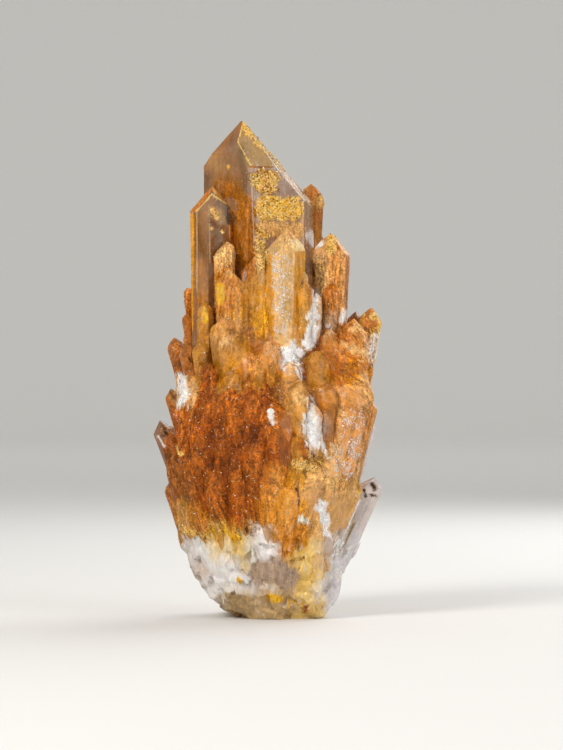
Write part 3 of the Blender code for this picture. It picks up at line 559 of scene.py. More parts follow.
def solid(name, bm, number, collection):
    bmesh.ops.recalc_face_normals(bm, faces=bm.faces[:])
    if bm.calc_volume(signed=True) < 0:
        bmesh.ops.reverse_faces(bm, faces=bm.faces[:])
    lay = bm.faces.layers.int.get("which") or bm.faces.layers.int.new("which")
    for f in bm.faces:
        f[lay] = number
    mesh = bpy.data.meshes.new(name)
    bm.to_mesh(mesh)
    bm.free()
    obj = bpy.data.objects.new(name, mesh)
    collection.objects.link(obj)
    return obj


def crystal(number, apex, foot, radius, turn, squash, shift, gaps, collection,
            taper=None, breaks=()):
    axis = apex - foot
    length = axis.length
    top = 0.4 * radius
    if taper is None:
        taper = TAPER if radius < 15 * UNIT else TAPER_THICK
    bm = bmesh.new()
    bmesh.ops.create_cone(bm, cap_ends=True, segments=6, radius1=radius * taper,
                          radius2=radius, depth=length + top)
    bmesh.ops.translate(bm, verts=bm.verts[:], vec=(0, 0, top - (length + top) / 2))
    under = [f for f in bm.faces if f.normal.z < -0.9]
    for v in bmesh.ops.poke(bm, faces=under)["verts"]:
        v.co.z -= 2.2 * radius
    lay = bm.faces.layers.int.new("kind")
    for f in bm.faces:
        f[lay] = 1
    off = Vector((shift[0] * radius, shift[1] * radius, 0))
    spin = math.radians(turn - 90)
    local_off = Matrix.Rotation(-spin, 3, "Z") @ off
    for k in range(6):
        a = math.radians(60 * k)
        n = Vector((math.cos(a) * math.sin(R_FACE), math.sin(a) * math.sin(R_FACE),
                    math.cos(R_FACE)))
        cut(bm, local_off + n * gaps[k] * radius, n, 2)
    tilt = Vector((0, 0, 1)).rotation_difference(axis.normalized()).to_matrix()
    flat = Matrix.Diagonal((1.0, squash, 1.0))
    turn_in = Matrix.Rotation(spin, 3, "Z")
    whole = (tilt @ flat @ turn_in).to_4x4()
    whole.translation = apex - tilt @ (flat @ off)
    bm.transform(whole)
    for spot, normal in breaks:
        out = Vector(normal).normalized()
        cut(bm, place(*spot) + out * 0.08 * radius, out, 3)
    return solid(f"grown_{number:03d}", bm, number, collection)


def end_gaps(rng):
    odd = rng.choice((0, 1))
    return [0.0 if k % 2 == odd else rng.choice((0.02, 0.08, 0.16, 0.22))
            for k in range(6)]


def heart(collection, number):
    bm = bmesh.new()
    rings, spokes = len(HEART), 17
    bmesh.ops.create_cone(bm, cap_ends=True, segments=spokes, radius1=1.0,
                          radius2=1.0, depth=1.0)
    side = [e for e in bm.edges if abs(e.verts[0].co.z - e.verts[1].co.z) > 0.5]
    bmesh.ops.subdivide_edges(bm, edges=side, cuts=rings - 2)
    lay = bm.faces.layers.int.new("kind")
    rng = random.Random(3)
    ribs = [rng.uniform(-0.05, 0.03) for _ in range(spokes)]
    for v in sorted(bm.verts, key=lambda v: (round(v.co.z, 4),
                                             math.atan2(v.co.y, v.co.x))):
        ring = round((0.5 - v.co.z) * (rings - 1))
        down, left, right, deep = HEART[ring]
        a = math.atan2(v.co.y, v.co.x)
        rib = ribs[round(a / (2 * math.pi) * spokes) % spokes]
        rough = 1 + rib + rng.uniform(-0.025, 0.02)
        x = (left + right) / 2 + (right - left) / 2 * rough * math.cos(a)
        if 0 < ring < rings - 1:
            down += rng.uniform(-5, 5)
        v.co = place(x, down, deep * rough * math.sin(a))
    for spot, normal in BREAKS:
        cut(bm, place(*spot), Vector(normal).normalized(), 3)
    bmesh.ops.triangulate(bm, faces=bm.faces[:])
    return solid("heart", bm, number, collection)


def grow_union():
    """All crystals in one closed mesh; each face knows its crystal."""
    grown = bpy.data.collections.new("growth_shapes")
    bpy.context.scene.collection.children.link(grown)
    made = []                       # what each numbered solid is made of
    rng = random.Random(11)
    pick = random.Random(23)
    made.append("heart")
    core = heart(bpy.context.scene.collection, 0)
    made.append("tall")
    crystal(1, place(*MAIN_APEX), place(MAIN_APEX[0], MAIN_FOOT_Y, MAIN_APEX[2]),
            MAIN_R * UNIT, MAIN_TURN, 1.0,
            ((MAIN_APEX[0] - MAIN_AXIS_X) / MAIN_R, MAIN_APEX[2] / MAIN_R),
            [0.0, 0.0, 0.0, 0.035, 0.035, 0.0], grown, taper=1.0)
    rows = CRYSTALS + back_crystals()
    for row in rows:
        apex, foot = row[:3], row[3:6]
        r, turn, squash, sx, sy = row[6:11]
        if len(row) > 11:
            look = row[11]
        else:
            y = apex[1]
            bag = (("smoke", "amber", "golden", "cream") if y < 290 else
                   ("tawny", "peach", "golden", "amber", "orange") if y < 390 else
                   ("rust", "rust", "tawny", "peach", "umber") if y < 480 else
                   ("rust", "clear", "peach", "milk"))
            look = pick.choice(bag)
        gaps = end_gaps(rng)
        crystal(len(made), place(*apex), place(*rooted(apex, foot, r)), r * UNIT,
                turn, squash, (sx, sy), gaps, grown)
        made.append(look)
    thin = random.Random(43)
    for row in thin_crystals(rows):
        r, turn, squash, sx, sy = row[6:11]
        crystal(len(made), place(*row[:3]), place(*rooted(row[:3], row[3:6], r)),
                r * UNIT, turn, squash, (sx, sy), end_gaps(thin), grown)
        made.append(row[11][0] if row[11] else "rust")
    for row in COLUMNS:
        r, turn, squash, sx, sy = row[6:]
        crystal(len(made), place(*row[:3]), place(*row[3:6]), r * UNIT, turn,
                squash, (sx, sy), end_gaps(rng), grown, taper=1.0,
                breaks=[(spot, [c + rng.uniform(-0.06, 0.06) for c in normal])
                        for spot, normal in BREAKS])
        made.append("column")
    bm = bmesh.new()
    bmesh.ops.create_cube(bm, size=0.2)
    bmesh.ops.translate(bm, verts=bm.verts[:], vec=(0, 0, -0.1))
    lay = bm.faces.layers.int.new("kind")
    for f in bm.faces:
        f[lay] = 4
    ground = solid("ground_cutter", bm, 0, bpy.context.scene.collection)

    join = core.modifiers.new("grown_together", "BOOLEAN")
    join.operation = "UNION"
    join.operand_type = "COLLECTION"
    join.collection = grown
    join.solver = "EXACT"
    flat = core.modifiers.new("flat_foot", "BOOLEAN")
    flat.operation = "DIFFERENCE"
    flat.object = ground
    flat.solver = "EXACT"
    graph = bpy.context.evaluated_depsgraph_get()
    mesh = bpy.data.meshes.new_from_object(core.evaluated_get(graph), depsgraph=graph)
    for o in list(grown.objects) + [core, ground]:
        bpy.data.objects.remove(o, do_unlink=True)
    bpy.data.collections.remove(grown)

    bm = bmesh.new()
    bm.from_mesh(mesh)
    bpy.data.meshes.remove(mesh)
    bmesh.ops.triangulate(bm, faces=bm.faces[:])
    shells, seen = [], set()
    for face in bm.faces:
        if face in seen:
            continue
        shell, todo = [], [face]
        seen.add(face)
        while todo:
            f = todo.pop()
            shell.append(f)
            for e in f.edges:
                for g in e.link_faces:
                    if g not in seen:
                        seen.add(g)
                        todo.append(g)
        shells.append(shell)
    shells.sort(key=len)
    inner = [f for shell in shells[:-1] for f in shell]
    if inner:
        bmesh.ops.delete(bm, geom=inner, context="FACES")
    bm.verts.ensure_lookup_table()
    bm.verts.index_update()
    which = bm.faces.layers.int["which"]
    kind = bm.faces.layers.int["kind"]
    co = np.array([v.co for v in bm.verts], dtype=np.float64)
    tri = np.array([[v.index for v in f.verts] for f in bm.faces], dtype=np.int64)
    wh = np.array([f[which] for f in bm.faces])
    kd = np.array([f[kind] for f in bm.faces])
    bm.free()
    return co, tri, wh, kd, made


def refine(co, tri, labels, limit):
    """Halves every edge longer than its limit until none is left.

    A fourth column of co, how open the points lie, is carried along.
    """
    for _ in range(14):
        e = np.sort(np.concatenate([tri[:, [0, 1]], tri[:, [1, 2]], tri[:, [2, 0]]]), 1)
        key = e[:, 0] * len(co) + e[:, 1]
        _, first, inverse = np.unique(key, return_index=True, return_inverse=True)
        ends = e[first]
        a, b = co[ends[:, 0]], co[ends[:, 1]]
        long = np.linalg.norm((a - b)[:, :3], axis=1) > limit((a + b) / 2)
        if not long.any():
            break
        new = np.full(len(ends), -1)
        new[long] = len(co) + np.arange(long.sum())
        co = np.concatenate([co, ((a + b) / 2)[long]])
        n = len(tri)
        m = new[inverse.reshape(-1)].reshape(3, n).T      # midpoints of 01, 12, 20
        have = m >= 0
        count = have.sum(1)
        out, lab = [tri[count == 0]], [labels[count == 0]]
        # one split edge: turn it to be the first
        for k in range(3):
            sel = (count == 1) & have[:, k]
            t, q = np.roll(tri[sel], -k, axis=1), m[sel][:, k]
            out += [np.stack([t[:, 0], q, t[:, 2]], 1), np.stack([q, t[:, 1], t[:, 2]], 1)]
            lab += [labels[sel]] * 2
            # two split edges: turn the whole one to be the last
            sel = (count == 2) & ~have[:, k]
            t = np.roll(tri[sel], -(k + 1), axis=1)
            q = np.roll(m[sel], -(k + 1), axis=1)
            out += [np.stack([q[:, 0], t[:, 1], q[:, 1]], 1),
                    np.stack([t[:, 0], q[:, 0], q[:, 1]], 1),
                    np.stack([t[:, 0], q[:, 1], t[:, 2]], 1)]
            lab += [labels[sel]] * 3
        sel = count == 3
        t, q = tri[sel], m[sel]
        out += [np.stack([t[:, 0], q[:, 0], q[:, 2]], 1),
                np.stack([q[:, 0], t[:, 1], q[:, 1]], 1),
                np.stack([q[:, 2], q[:, 1], t[:, 2]], 1), q]
        lab += [labels[sel]] * 4
        tri, labels = np.concatenate(out), np.concatenate(lab)
    return co, tri, labels


def openness(co, tri, count=12):
    """The share of the rays leaving each point that miss the cluster."""
    tree = BVHTree.FromPolygons(co.tolist(), tri.tolist())
    n = np.cross(co[tri[:, 1]] - co[tri[:, 0]], co[tri[:, 2]] - co[tri[:, 0]])
    area = np.linalg.norm(n, axis=1)
    n /= np.maximum(area, 1e-15)[:, None]
    start = co[tri].mean(1) + n * 0.00003
    rays = np.random.default_rng(19).normal(size=(len(tri), count, 3))
    rays /= np.linalg.norm(rays, axis=2, keepdims=True)
    rays = rays + n[:, None] * 1.02
    free = np.array([sum(tree.ray_cast(s, r)[0] is None for r in rs)
                     for s, rs in zip(start.tolist(), rays.tolist())]) / count
    total = np.zeros(len(co))
    whole = np.zeros(len(co))
    for k in range(3):
        total += np.bincount(tri[:, k], free * area, len(co))
        whole += np.bincount(tri[:, k], area, len(co))
    return total / np.maximum(whole, 1e-20)


def creases(co, tri, angle):
    """Edges, each as one number, where two faces meet more sharply than angle."""
    n = np.cross(co[tri[:, 1]] - co[tri[:, 0]], co[tri[:, 2]] - co[tri[:, 0]])
    n /= np.maximum(np.linalg.norm(n, axis=1, keepdims=True), 1e-15)
    e = np.sort(np.concatenate([tri[:, [0, 1]], tri[:, [1, 2]], tri[:, [2, 0]]]), 1)
    face = np.tile(np.arange(len(tri)), 3)
    key = e[:, 0] * len(co) + e[:, 1]
    order = np.argsort(key, kind="stable")
    key, face = key[order], face[order]
    bent = (n[face[1:]] * n[face[:-1]]).sum(1) < math.cos(math.radians(angle))
    return key[1:][(key[1:] == key[:-1]) & bent]


# --------------------------------------------------------------------- noise
def noise3(p, size, seed):
    """Smooth value noise from -1 to 1 with the given feature size."""
    q = p / size + seed * 17.31
    i = np.floor(q).astype(np.int64)
    f = q - i
    u = f * f * f * (f * (f * 6 - 15) + 10)
    total = np.zeros(len(p))
    for dx in (0, 1):
        for dy in (0, 1):
            for dz in (0, 1):
                h = ((i[:, 0] + dx) * 374761393 + (i[:, 1] + dy) * 668265263
                     + (i[:, 2] + dz) * 2147483647 + seed * 974711) & 0xFFFFFFFF
                h = ((h ^ (h >> 13)) * 1274126177) & 0xFFFFFFFF
                h ^= h >> 16
                w = ((u[:, 0] if dx else 1 - u[:, 0]) * (u[:, 1] if dy else 1 - u[:, 1])
                     * (u[:, 2] if dz else 1 - u[:, 2]))
                total += w * ((h & 0xFFFFFF) / 0xFFFFFF)
    return total * 2 - 1


def layers(p, size, seed, octaves=3):
    total, weight, amp = 0, 0, 1.0
    for k in range(octaves):
        total = total + amp * noise3(p, size / 2 ** k, seed + k)
        weight += amp
        amp *= 0.55
    return total / weight


def smoothstep(lo, hi, x):
    t = np.clip((x - lo) / (hi - lo), 0, 1)
    return t * t * (3 - 2 * t)


# ------------------------------------------------------------ surface recipe
def vertex_normals(co, tri):
    n = np.cross(co[tri[:, 1]] - co[tri[:, 0]], co[tri[:, 2]] - co[tri[:, 0]])
    out = np.zeros_like(co)
    for k in range(3):
        np.add.at(out, tri[:, k], n)
    return out / np.maximum(np.linalg.norm(out, axis=1, keepdims=True), 1e-12)


def neighbours_mean(co, edges, count):
    n = len(co)
    i, j = edges[:, 0], edges[:, 1]
    if co.ndim == 1:
        return (np.bincount(i, co[j], n) + np.bincount(j, co[i], n)) / count
    return np.stack([(np.bincount(i, co[j, k], n) + np.bincount(j, co[i, k], n)) / count
                     for k in range(co.shape[1])], 1)


def facet_of(n, which):
    """Number of the special facet that each face lies on, or 0."""
    out = np.zeros(len(which), dtype=np.int64)
    for k, (solid_no, look, *_) in enumerate(FACETS):
        look = np.array(look) / np.linalg.norm(look)
        out[(which == solid_no) & (n @ look > 0.96)] = k + 1
    return out


def recipe(co, which, facet, sector, facing, made):
    """Colour, clearness, grain, wear, iron and drusy coats at surface points."""
    n = len(co)
    across, down, depth = on_sheet(co)
    warp1 = layers(co, 0.0035, 3)
    warp2 = layers(co, 0.0035, 9)
    behind = smoothstep(-5, 40, depth)
    # wisps run the way that the crystals grew
    lean = (across - 266.0) / 230.0 * smoothstep(300, 470, down)
    grown = np.stack([co[:, 0] - lean * co[:, 2] * 0.9, co[:, 1], co[:, 2] * 0.16], 1)
    wisp = 0.6 * layers(grown, 0.0022, 201) + 0.4 * noise3(grown, 0.0009, 207)
    ax = across + 5.0 * warp1 + behind * 22 * noise3(co, 0.016, 31)
    ay = down + 5.0 * warp2 + 17.0 * wisp + behind * 22 * noise3(co, 0.016, 37)

    own = np.array([PAINT[MADE_OF[m][0]] for m in made])[which]
    clear = np.array([MADE_OF[m][1] for m in made])[which].astype(float)
    grain = np.array([MADE_OF[m][2] for m in made])[which].astype(float)
    worn = np.array([MADE_OF[m][3] for m in made])[which].astype(float)
    tall = (which == 1)

    weight = np.zeros(n)
    stain = np.zeros((n, 3))
    for x, y, reach, paint in STAINS:
        w = np.exp(-((ax - x) ** 2 + (ay - y) ** 2) / (reach * reach * 0.9)) + 1e-9
        stain += w[:, None] * PAINT[paint]
        weight += w
    stain /= weight[:, None]

    # the clear crystals keep their own colour, the crusted ones take the stain
    follow = 0.22 + 0.6 * smoothstep(0.85, 0.2, clear)
    follow *= smoothstep(215, 262, down)
    follow[tall] = 0.0
    follow[np.isin(which, [k for k, m in enumerate(made) if m == "clear"])] *= 0.25
    # here and there a crystal is clear golden right through
    gleam = np.sin(which * 91.17 + 4.3) * 15731.743
    gleam = ((gleam - np.floor(gleam)) > 0.70) & (clear < 0.5) & (down > 300) & (grain > 0.3)
    gleam &= ~((across > 172) & (across < 284) & (down > 392) & (down < 532) & (depth < 0))
    gleam &= ~np.isin(which, [k for k, m in enumerate(made) if m in ("milk", "column", "heart")])
    clear = np.where(gleam, 0.38, clear)
    grain = np.where(gleam, 0.30, grain)
    worn = np.where(gleam, 0.30, worn)
    heartish = np.isin(which, [k for k, m in enumerate(made) if m in ("heart", "column")])
    follow = np.where(heartish, 1.0, follow)
    tint = own * (1 - follow[:, None]) + stain * follow[:, None]
    tint[gleam] = 0.45 * tint[gleam] + 0.55 * PAINT["golden"]
    iron = np.where(np.isin(which, [k for k, m in enumerate(made)
                                    if m in ("milk", "clear", "smoke")]), 0.15, 0.9)

    for k, (_, _, paint, c, g, fe) in enumerate(FACETS):
        on = facet == k + 1
        if on.any():
            tint[on] = 0.8 * PAINT[paint] + 0.2 * tint[on]
            clear[on], grain[on], iron[on] = c, g, fe

    # every facet takes the light a little differently
    odd = np.sin(which * 12.9898 + sector * 78.233) * 43758.5453
    odd = odd - np.floor(odd)
    tint = tint * (1 + 0.30 * (odd - 0.5) * (1 - 0.6 * heartish))[:, None]

    # low down the quartz is milky and smooth, not crusted
    low = smoothstep(530, 546, ay)
    grain = grain * (1 - 0.80 * low)
    iron = iron * (1 - 0.85 * low)
    clear = np.where(heartish, 0.12 * low, clear)

    for x, y, reach, g, c in CALM:
        m = np.exp(-((ax - x) ** 2 + (ay - y) ** 2) / (reach * reach))
        m = smoothstep(0.30, 0.55, m) * smoothstep(0, -20, depth)
        grain, clear = grain * (1 - m) + g * m, clear * (1 - m) + c * m
        iron = iron * (1 - 0.6 * m)

    # the tall crystal is stained where its neighbours grew against it
    bands = layers(co, 0.006, 51)
    sink = smoothstep(198, 250, down + 12 * bands) * tall
    sink = sink * np.where(np.isin(facet, (1, 3)), 0.25, 1.0)
    tint = tint * (1 - sink[:, None]) + PAINT["tawny"] * sink[:, None]
    clear = clear * (1 - 0.75 * sink)
    grain = grain + (0.7 - grain) * sink * 0.8

    # the glassy faces darken and warm towards their stained insides
    depths = layers(co, 0.009, 231)
    cloud = smoothstep(-0.3, 0.45, depths + 0.5 * wisp) * np.isin(which, (1, 2)) * (clear > 0.3)
    tint = tint * (1 - 0.34 * cloud[:, None]) + PAINT["umber"] * 0.34 * cloud[:, None]
    # the milky base is streaked white and grey
    streak = low * heartish
    tint = tint * (1 - (0.06 - 0.24 * wisp) * streak)[:, None]
    hair = smoothstep(0.28, 0.5, wisp) * streak
    tint = tint * (1 - 0.5 * hair[:, None]) + PAINT["milk"] * 0.5 * hair[:, None]

    coats = {k: np.zeros(n) for k in ("gold", "white", "rust", "cream", "frost", "glint")}
    coats["rust"] = grain * 0.50 * smoothstep(0.5, 0.05, clear) * (1 - low)
    pale = smoothstep(0.14, 0.34, tint @ np.array((0.3, 0.6, 0.1)))
    # partly real druse, partly painted highlight: thinly scattered grains coloured pale so that they read as
    # sparkle
    coats["glint"] = (0.024 + 0.024 * pale) * grain * (1 - low)
    coats["cream"] = (0.05 + 0.20 * pale) * grain * (1 - low)
    # marks belong to the front: they reach no deeper than the front surface
    half_w = np.interp(down, [r[0] for r in OUTLINE], [(r[2] - r[1]) / 2 for r in OUTLINE])
    mid_w = np.interp(down, [r[0] for r in OUTLINE], [(r[2] + r[1]) / 2 for r in OUTLINE])
    deep = np.interp(down, [r[0] for r in DEPTHS], [r[1] for r in DEPTHS])
    swell = deep * np.sqrt(np.clip(1 - ((across - mid_w) / np.maximum(half_w, 1)) ** 2, 0, 1))
    ahead = smoothstep(14 - 0.30 * swell, 2 - 0.45 * swell, depth)
    ahead = np.where(tall, smoothstep(30, 10, depth), ahead)
    # round the back the same coats sit in patches of their own
    patch = layers(co, 0.007, 211)
    back_gold = smoothstep(0.22, 0.34, patch) * smoothstep(5, 25, depth) * (1 - low)
    back_white = smoothstep(0.30, 0.40, layers(co, 0.006, 219)) * smoothstep(5, 25, depth) * (1 - low)
    coats["gold"] = back_gold * (clear < 0.9) * smoothstep(430, 380, down)
    coats["white"] = 0.7 * back_white * smoothstep(260, 300, down)
    for coat, paint in (("gold", "golden"), ("white", "milk")):
        m = coats[coat]
        tint = tint * (1 - 0.8 * m[:, None]) + PAINT[paint] * 0.8 * m[:, None]
        clear, grain = clear * (1 - m), grain * (1 - m) + 0.7 * m
        iron = iron * (1 - m * (0.9 if coat == "white" else 0.4))
    ragged = 0.38 * layers(co, 0.0020, 61) + 0.30 * noise3(co, 0.0007, 67)
    for (x0, y0), (x1, y1), half, paint, c, g, coat in MARKS:
        dx, dy = x1 - x0, y1 - y0
        t = np.clip(((across - x0) * dx + (down - y0) * dy) / (dx * dx + dy * dy), 0, 1)
        d = np.hypot(across - x0 - t * dx, down - y0 - t * dy) / half
        edge = 0.3 if paint in ("ash", "olive") else 1.5 if coat == "white" else 1.0
        m = smoothstep(1.10, 0.92, d + edge * ragged) * ahead
        g = 0.3 if coat == "white" else g
        if coat == "haze":
            m = 0.75 * np.exp(-(d + 0.6 * ragged) ** 2) * ahead * np.isin(which, (1, 2))
        if isinstance(coat, int):
            m = m * (which == coat)
        if half > 4:
            m = m * smoothstep(0.05, 0.30, facing)
        else:
            m = m * smoothstep(0.00, 0.12, facing)
        if coat == "gold" and y0 < 240 and 244 < x0 < 300 and half > 8:
            m = m * (facet == 1)
        tint = tint * (1 - m[:, None]) + PAINT[paint] * m[:, None]
        clear = clear * (1 - m) + c * m
        grain = grain * (1 - m) + g * m
        iron = iron * (1 - m) + {"white": 0.05, "frost": 0.15}.get(coat, 0.55) * m
        if coat == "haze":
            continue
        if coat == "frost":
            thin = smoothstep(-0.25, 0.25, layers(co, 0.0019, 223))
            coats["frost"] = np.maximum(coats["frost"], m * thin)
            coats["cream"] = coats["cream"] * (1 - m)
        elif isinstance(coat, str):
            for k in coats:
                coats[k] = coats[k] * (1 - m)
            coats[coat] = np.maximum(coats[coat], m * np.where(coat == "white", 0.8, 1.0))
    blotch = layers(co, 0.0028, 71)
    fine = layers(co, 0.0009, 77)
    shade = 1 + 0.15 * blotch * (1 - 0.6 * clear) + 0.16 * fine * grain
    tint = tint * shade[:, None]
    # gloss lays a pale film over strong colours, so these start out deeper
    strong = smoothstep(0.45, 0.12, tint[:, 2]) * smoothstep(0.75, 0.3, clear)
    tint[:, 2] -= 0.042 * strong
    tint[:, 1] *= 1 - 0.04 * strong
    tint = np.clip(tint, 0.002, 1)
    return tint, clear, grain, worn, iron, coats


def to_object(name, co, tri, smooth=None):
    mesh = bpy.data.meshes.new(name)
    mesh.vertices.add(len(co))
    mesh.vertices.foreach_set("co", co.astype(np.float32).ravel())
    mesh.loops.add(len(tri) * 3)
    mesh.polygons.add(len(tri))
    mesh.loops.foreach_set("vertex_index", tri.astype(np.int32).ravel())
    mesh.polygons.foreach_set("loop_start", np.arange(len(tri), dtype=np.int32) * 3)
    mesh.update(calc_edges=True)
    mesh.validate()
    if smooth is not None:
        mesh.polygons.foreach_set("use_smooth", smooth.astype(bool))
    obj = bpy.data.objects.new(name, mesh)
    bpy.context.scene.collection.objects.link(obj)
    return obj


def colour_layer(obj, name, rgb, domain="POINT"):
    layer = obj.data.attributes.new(name, "FLOAT_COLOR", domain)
    rgba = np.ones((len(rgb), 4), dtype=np.float32)
    rgba[:, :3] = rgb
    layer.data.foreach_set("color", rgba.ravel())


def value_layer(obj, name, values, domain="POINT"):
    layer = obj.data.attributes.new(name, "FLOAT", domain)
    layer.data.foreach_set("value", np.asarray(values, dtype=np.float32))


# ----------------------------------------------------------------- materials
class Nodes:
    """Short words for building a node tree."""

    def __init__(self, name):
        self.mat = bpy.data.materials.new(name)
        self.mat.use_nodes = True
        self.tree = self.mat.node_tree
        self.shader = self.tree.nodes["Principled BSDF"]
        self.out = self.tree.nodes["Material Output"]

    def add(self, kind, **values):
        node = self.tree.nodes.new(kind)
        for k, v in values.items():
            setattr(node, k, v)
        return node

    def link(self, a, b):
        self.tree.links.new(a, b)

    def put(self, socket, value):
        if isinstance(value, bpy.types.NodeSocket):
            self.link(value, socket)
        else:
            socket.default_value = value

    def attribute(self, name, output="Fac"):
        return self.add("ShaderNodeAttribute", attribute_name=name).outputs[output]

    def math(self, op, a, b=0.0, clamp=False):
        node = self.add("ShaderNodeMath", operation=op, use_clamp=clamp)
        self.put(node.inputs[0], a)
        self.put(node.inputs[1], b)
        return node.outputs[0]

    def ramp(self, value, lo, hi, to_lo=0.0, to_hi=1.0):
        node = self.add("ShaderNodeMapRange")
        self.put(node.inputs[0], value)
        for k, v in zip((1, 2, 3, 4), (lo, hi, to_lo, to_hi)):
            self.put(node.inputs[k], v)
        return node.outputs[0]

    def mix(self, fac, a, b, blend="MIX"):
        node = self.add("ShaderNodeMix", data_type="RGBA", blend_type=blend)
        self.put(node.inputs[0], fac)
        self.put(node.inputs[6], a)
        self.put(node.inputs[7], b)
        return node.outputs[2]

    def noise(self, size, detail=2.0, rough=0.5, stretch=None, seed=0.0):
        coord = self.add("ShaderNodeTexCoord").outputs["Object"]
        mapping = self.add("ShaderNodeMapping")
        self.link(coord, mapping.inputs["Vector"])
        mapping.inputs["Location"].default_value = (seed, seed * 0.7, seed * 1.3)
        if stretch:
            mapping.inputs["Scale"].default_value = stretch
        node = self.add("ShaderNodeTexNoise")
        self.link(mapping.outputs[0], node.inputs["Vector"])
        node.inputs["Scale"].default_value = 1.0 / size
        node.inputs["Detail"].default_value = detail
        node.inputs["Roughness"].default_value = rough
        return node.outputs["Fac"]

    def noise_along(self, size, detail=2.0, rough=0.5, seed=0.0):
        """Noise drawn out the way that the crystals grew."""
        mapping = self.add("ShaderNodeMapping")
        self.link(self.attribute("thread", "Vector"), mapping.inputs["Vector"])
        mapping.inputs["Location"].default_value = (seed, seed * 0.7, seed * 1.3)
        node = self.add("ShaderNodeTexNoise")
        self.link(mapping.outputs[0], node.inputs["Vector"])
        node.inputs["Scale"].default_value = 1.0 / size
        node.inputs["Detail"].default_value = detail
        node.inputs["Roughness"].default_value = rough
        return node.outputs["Fac"]

    def voronoi(self, size, seed=0.0, feature="F1", output="Distance"):
        coord = self.add("ShaderNodeTexCoord").outputs["Object"]
        mapping = self.add("ShaderNodeMapping")
        self.link(coord, mapping.inputs["Vector"])
        mapping.inputs["Location"].default_value = (seed, seed * 0.7, seed * 1.3)
        node = self.add("ShaderNodeTexVoronoi", feature=feature)
        self.link(mapping.outputs[0], node.inputs["Vector"])
        node.inputs["Scale"].default_value = 1.0 / size
        return node.outputs[output]


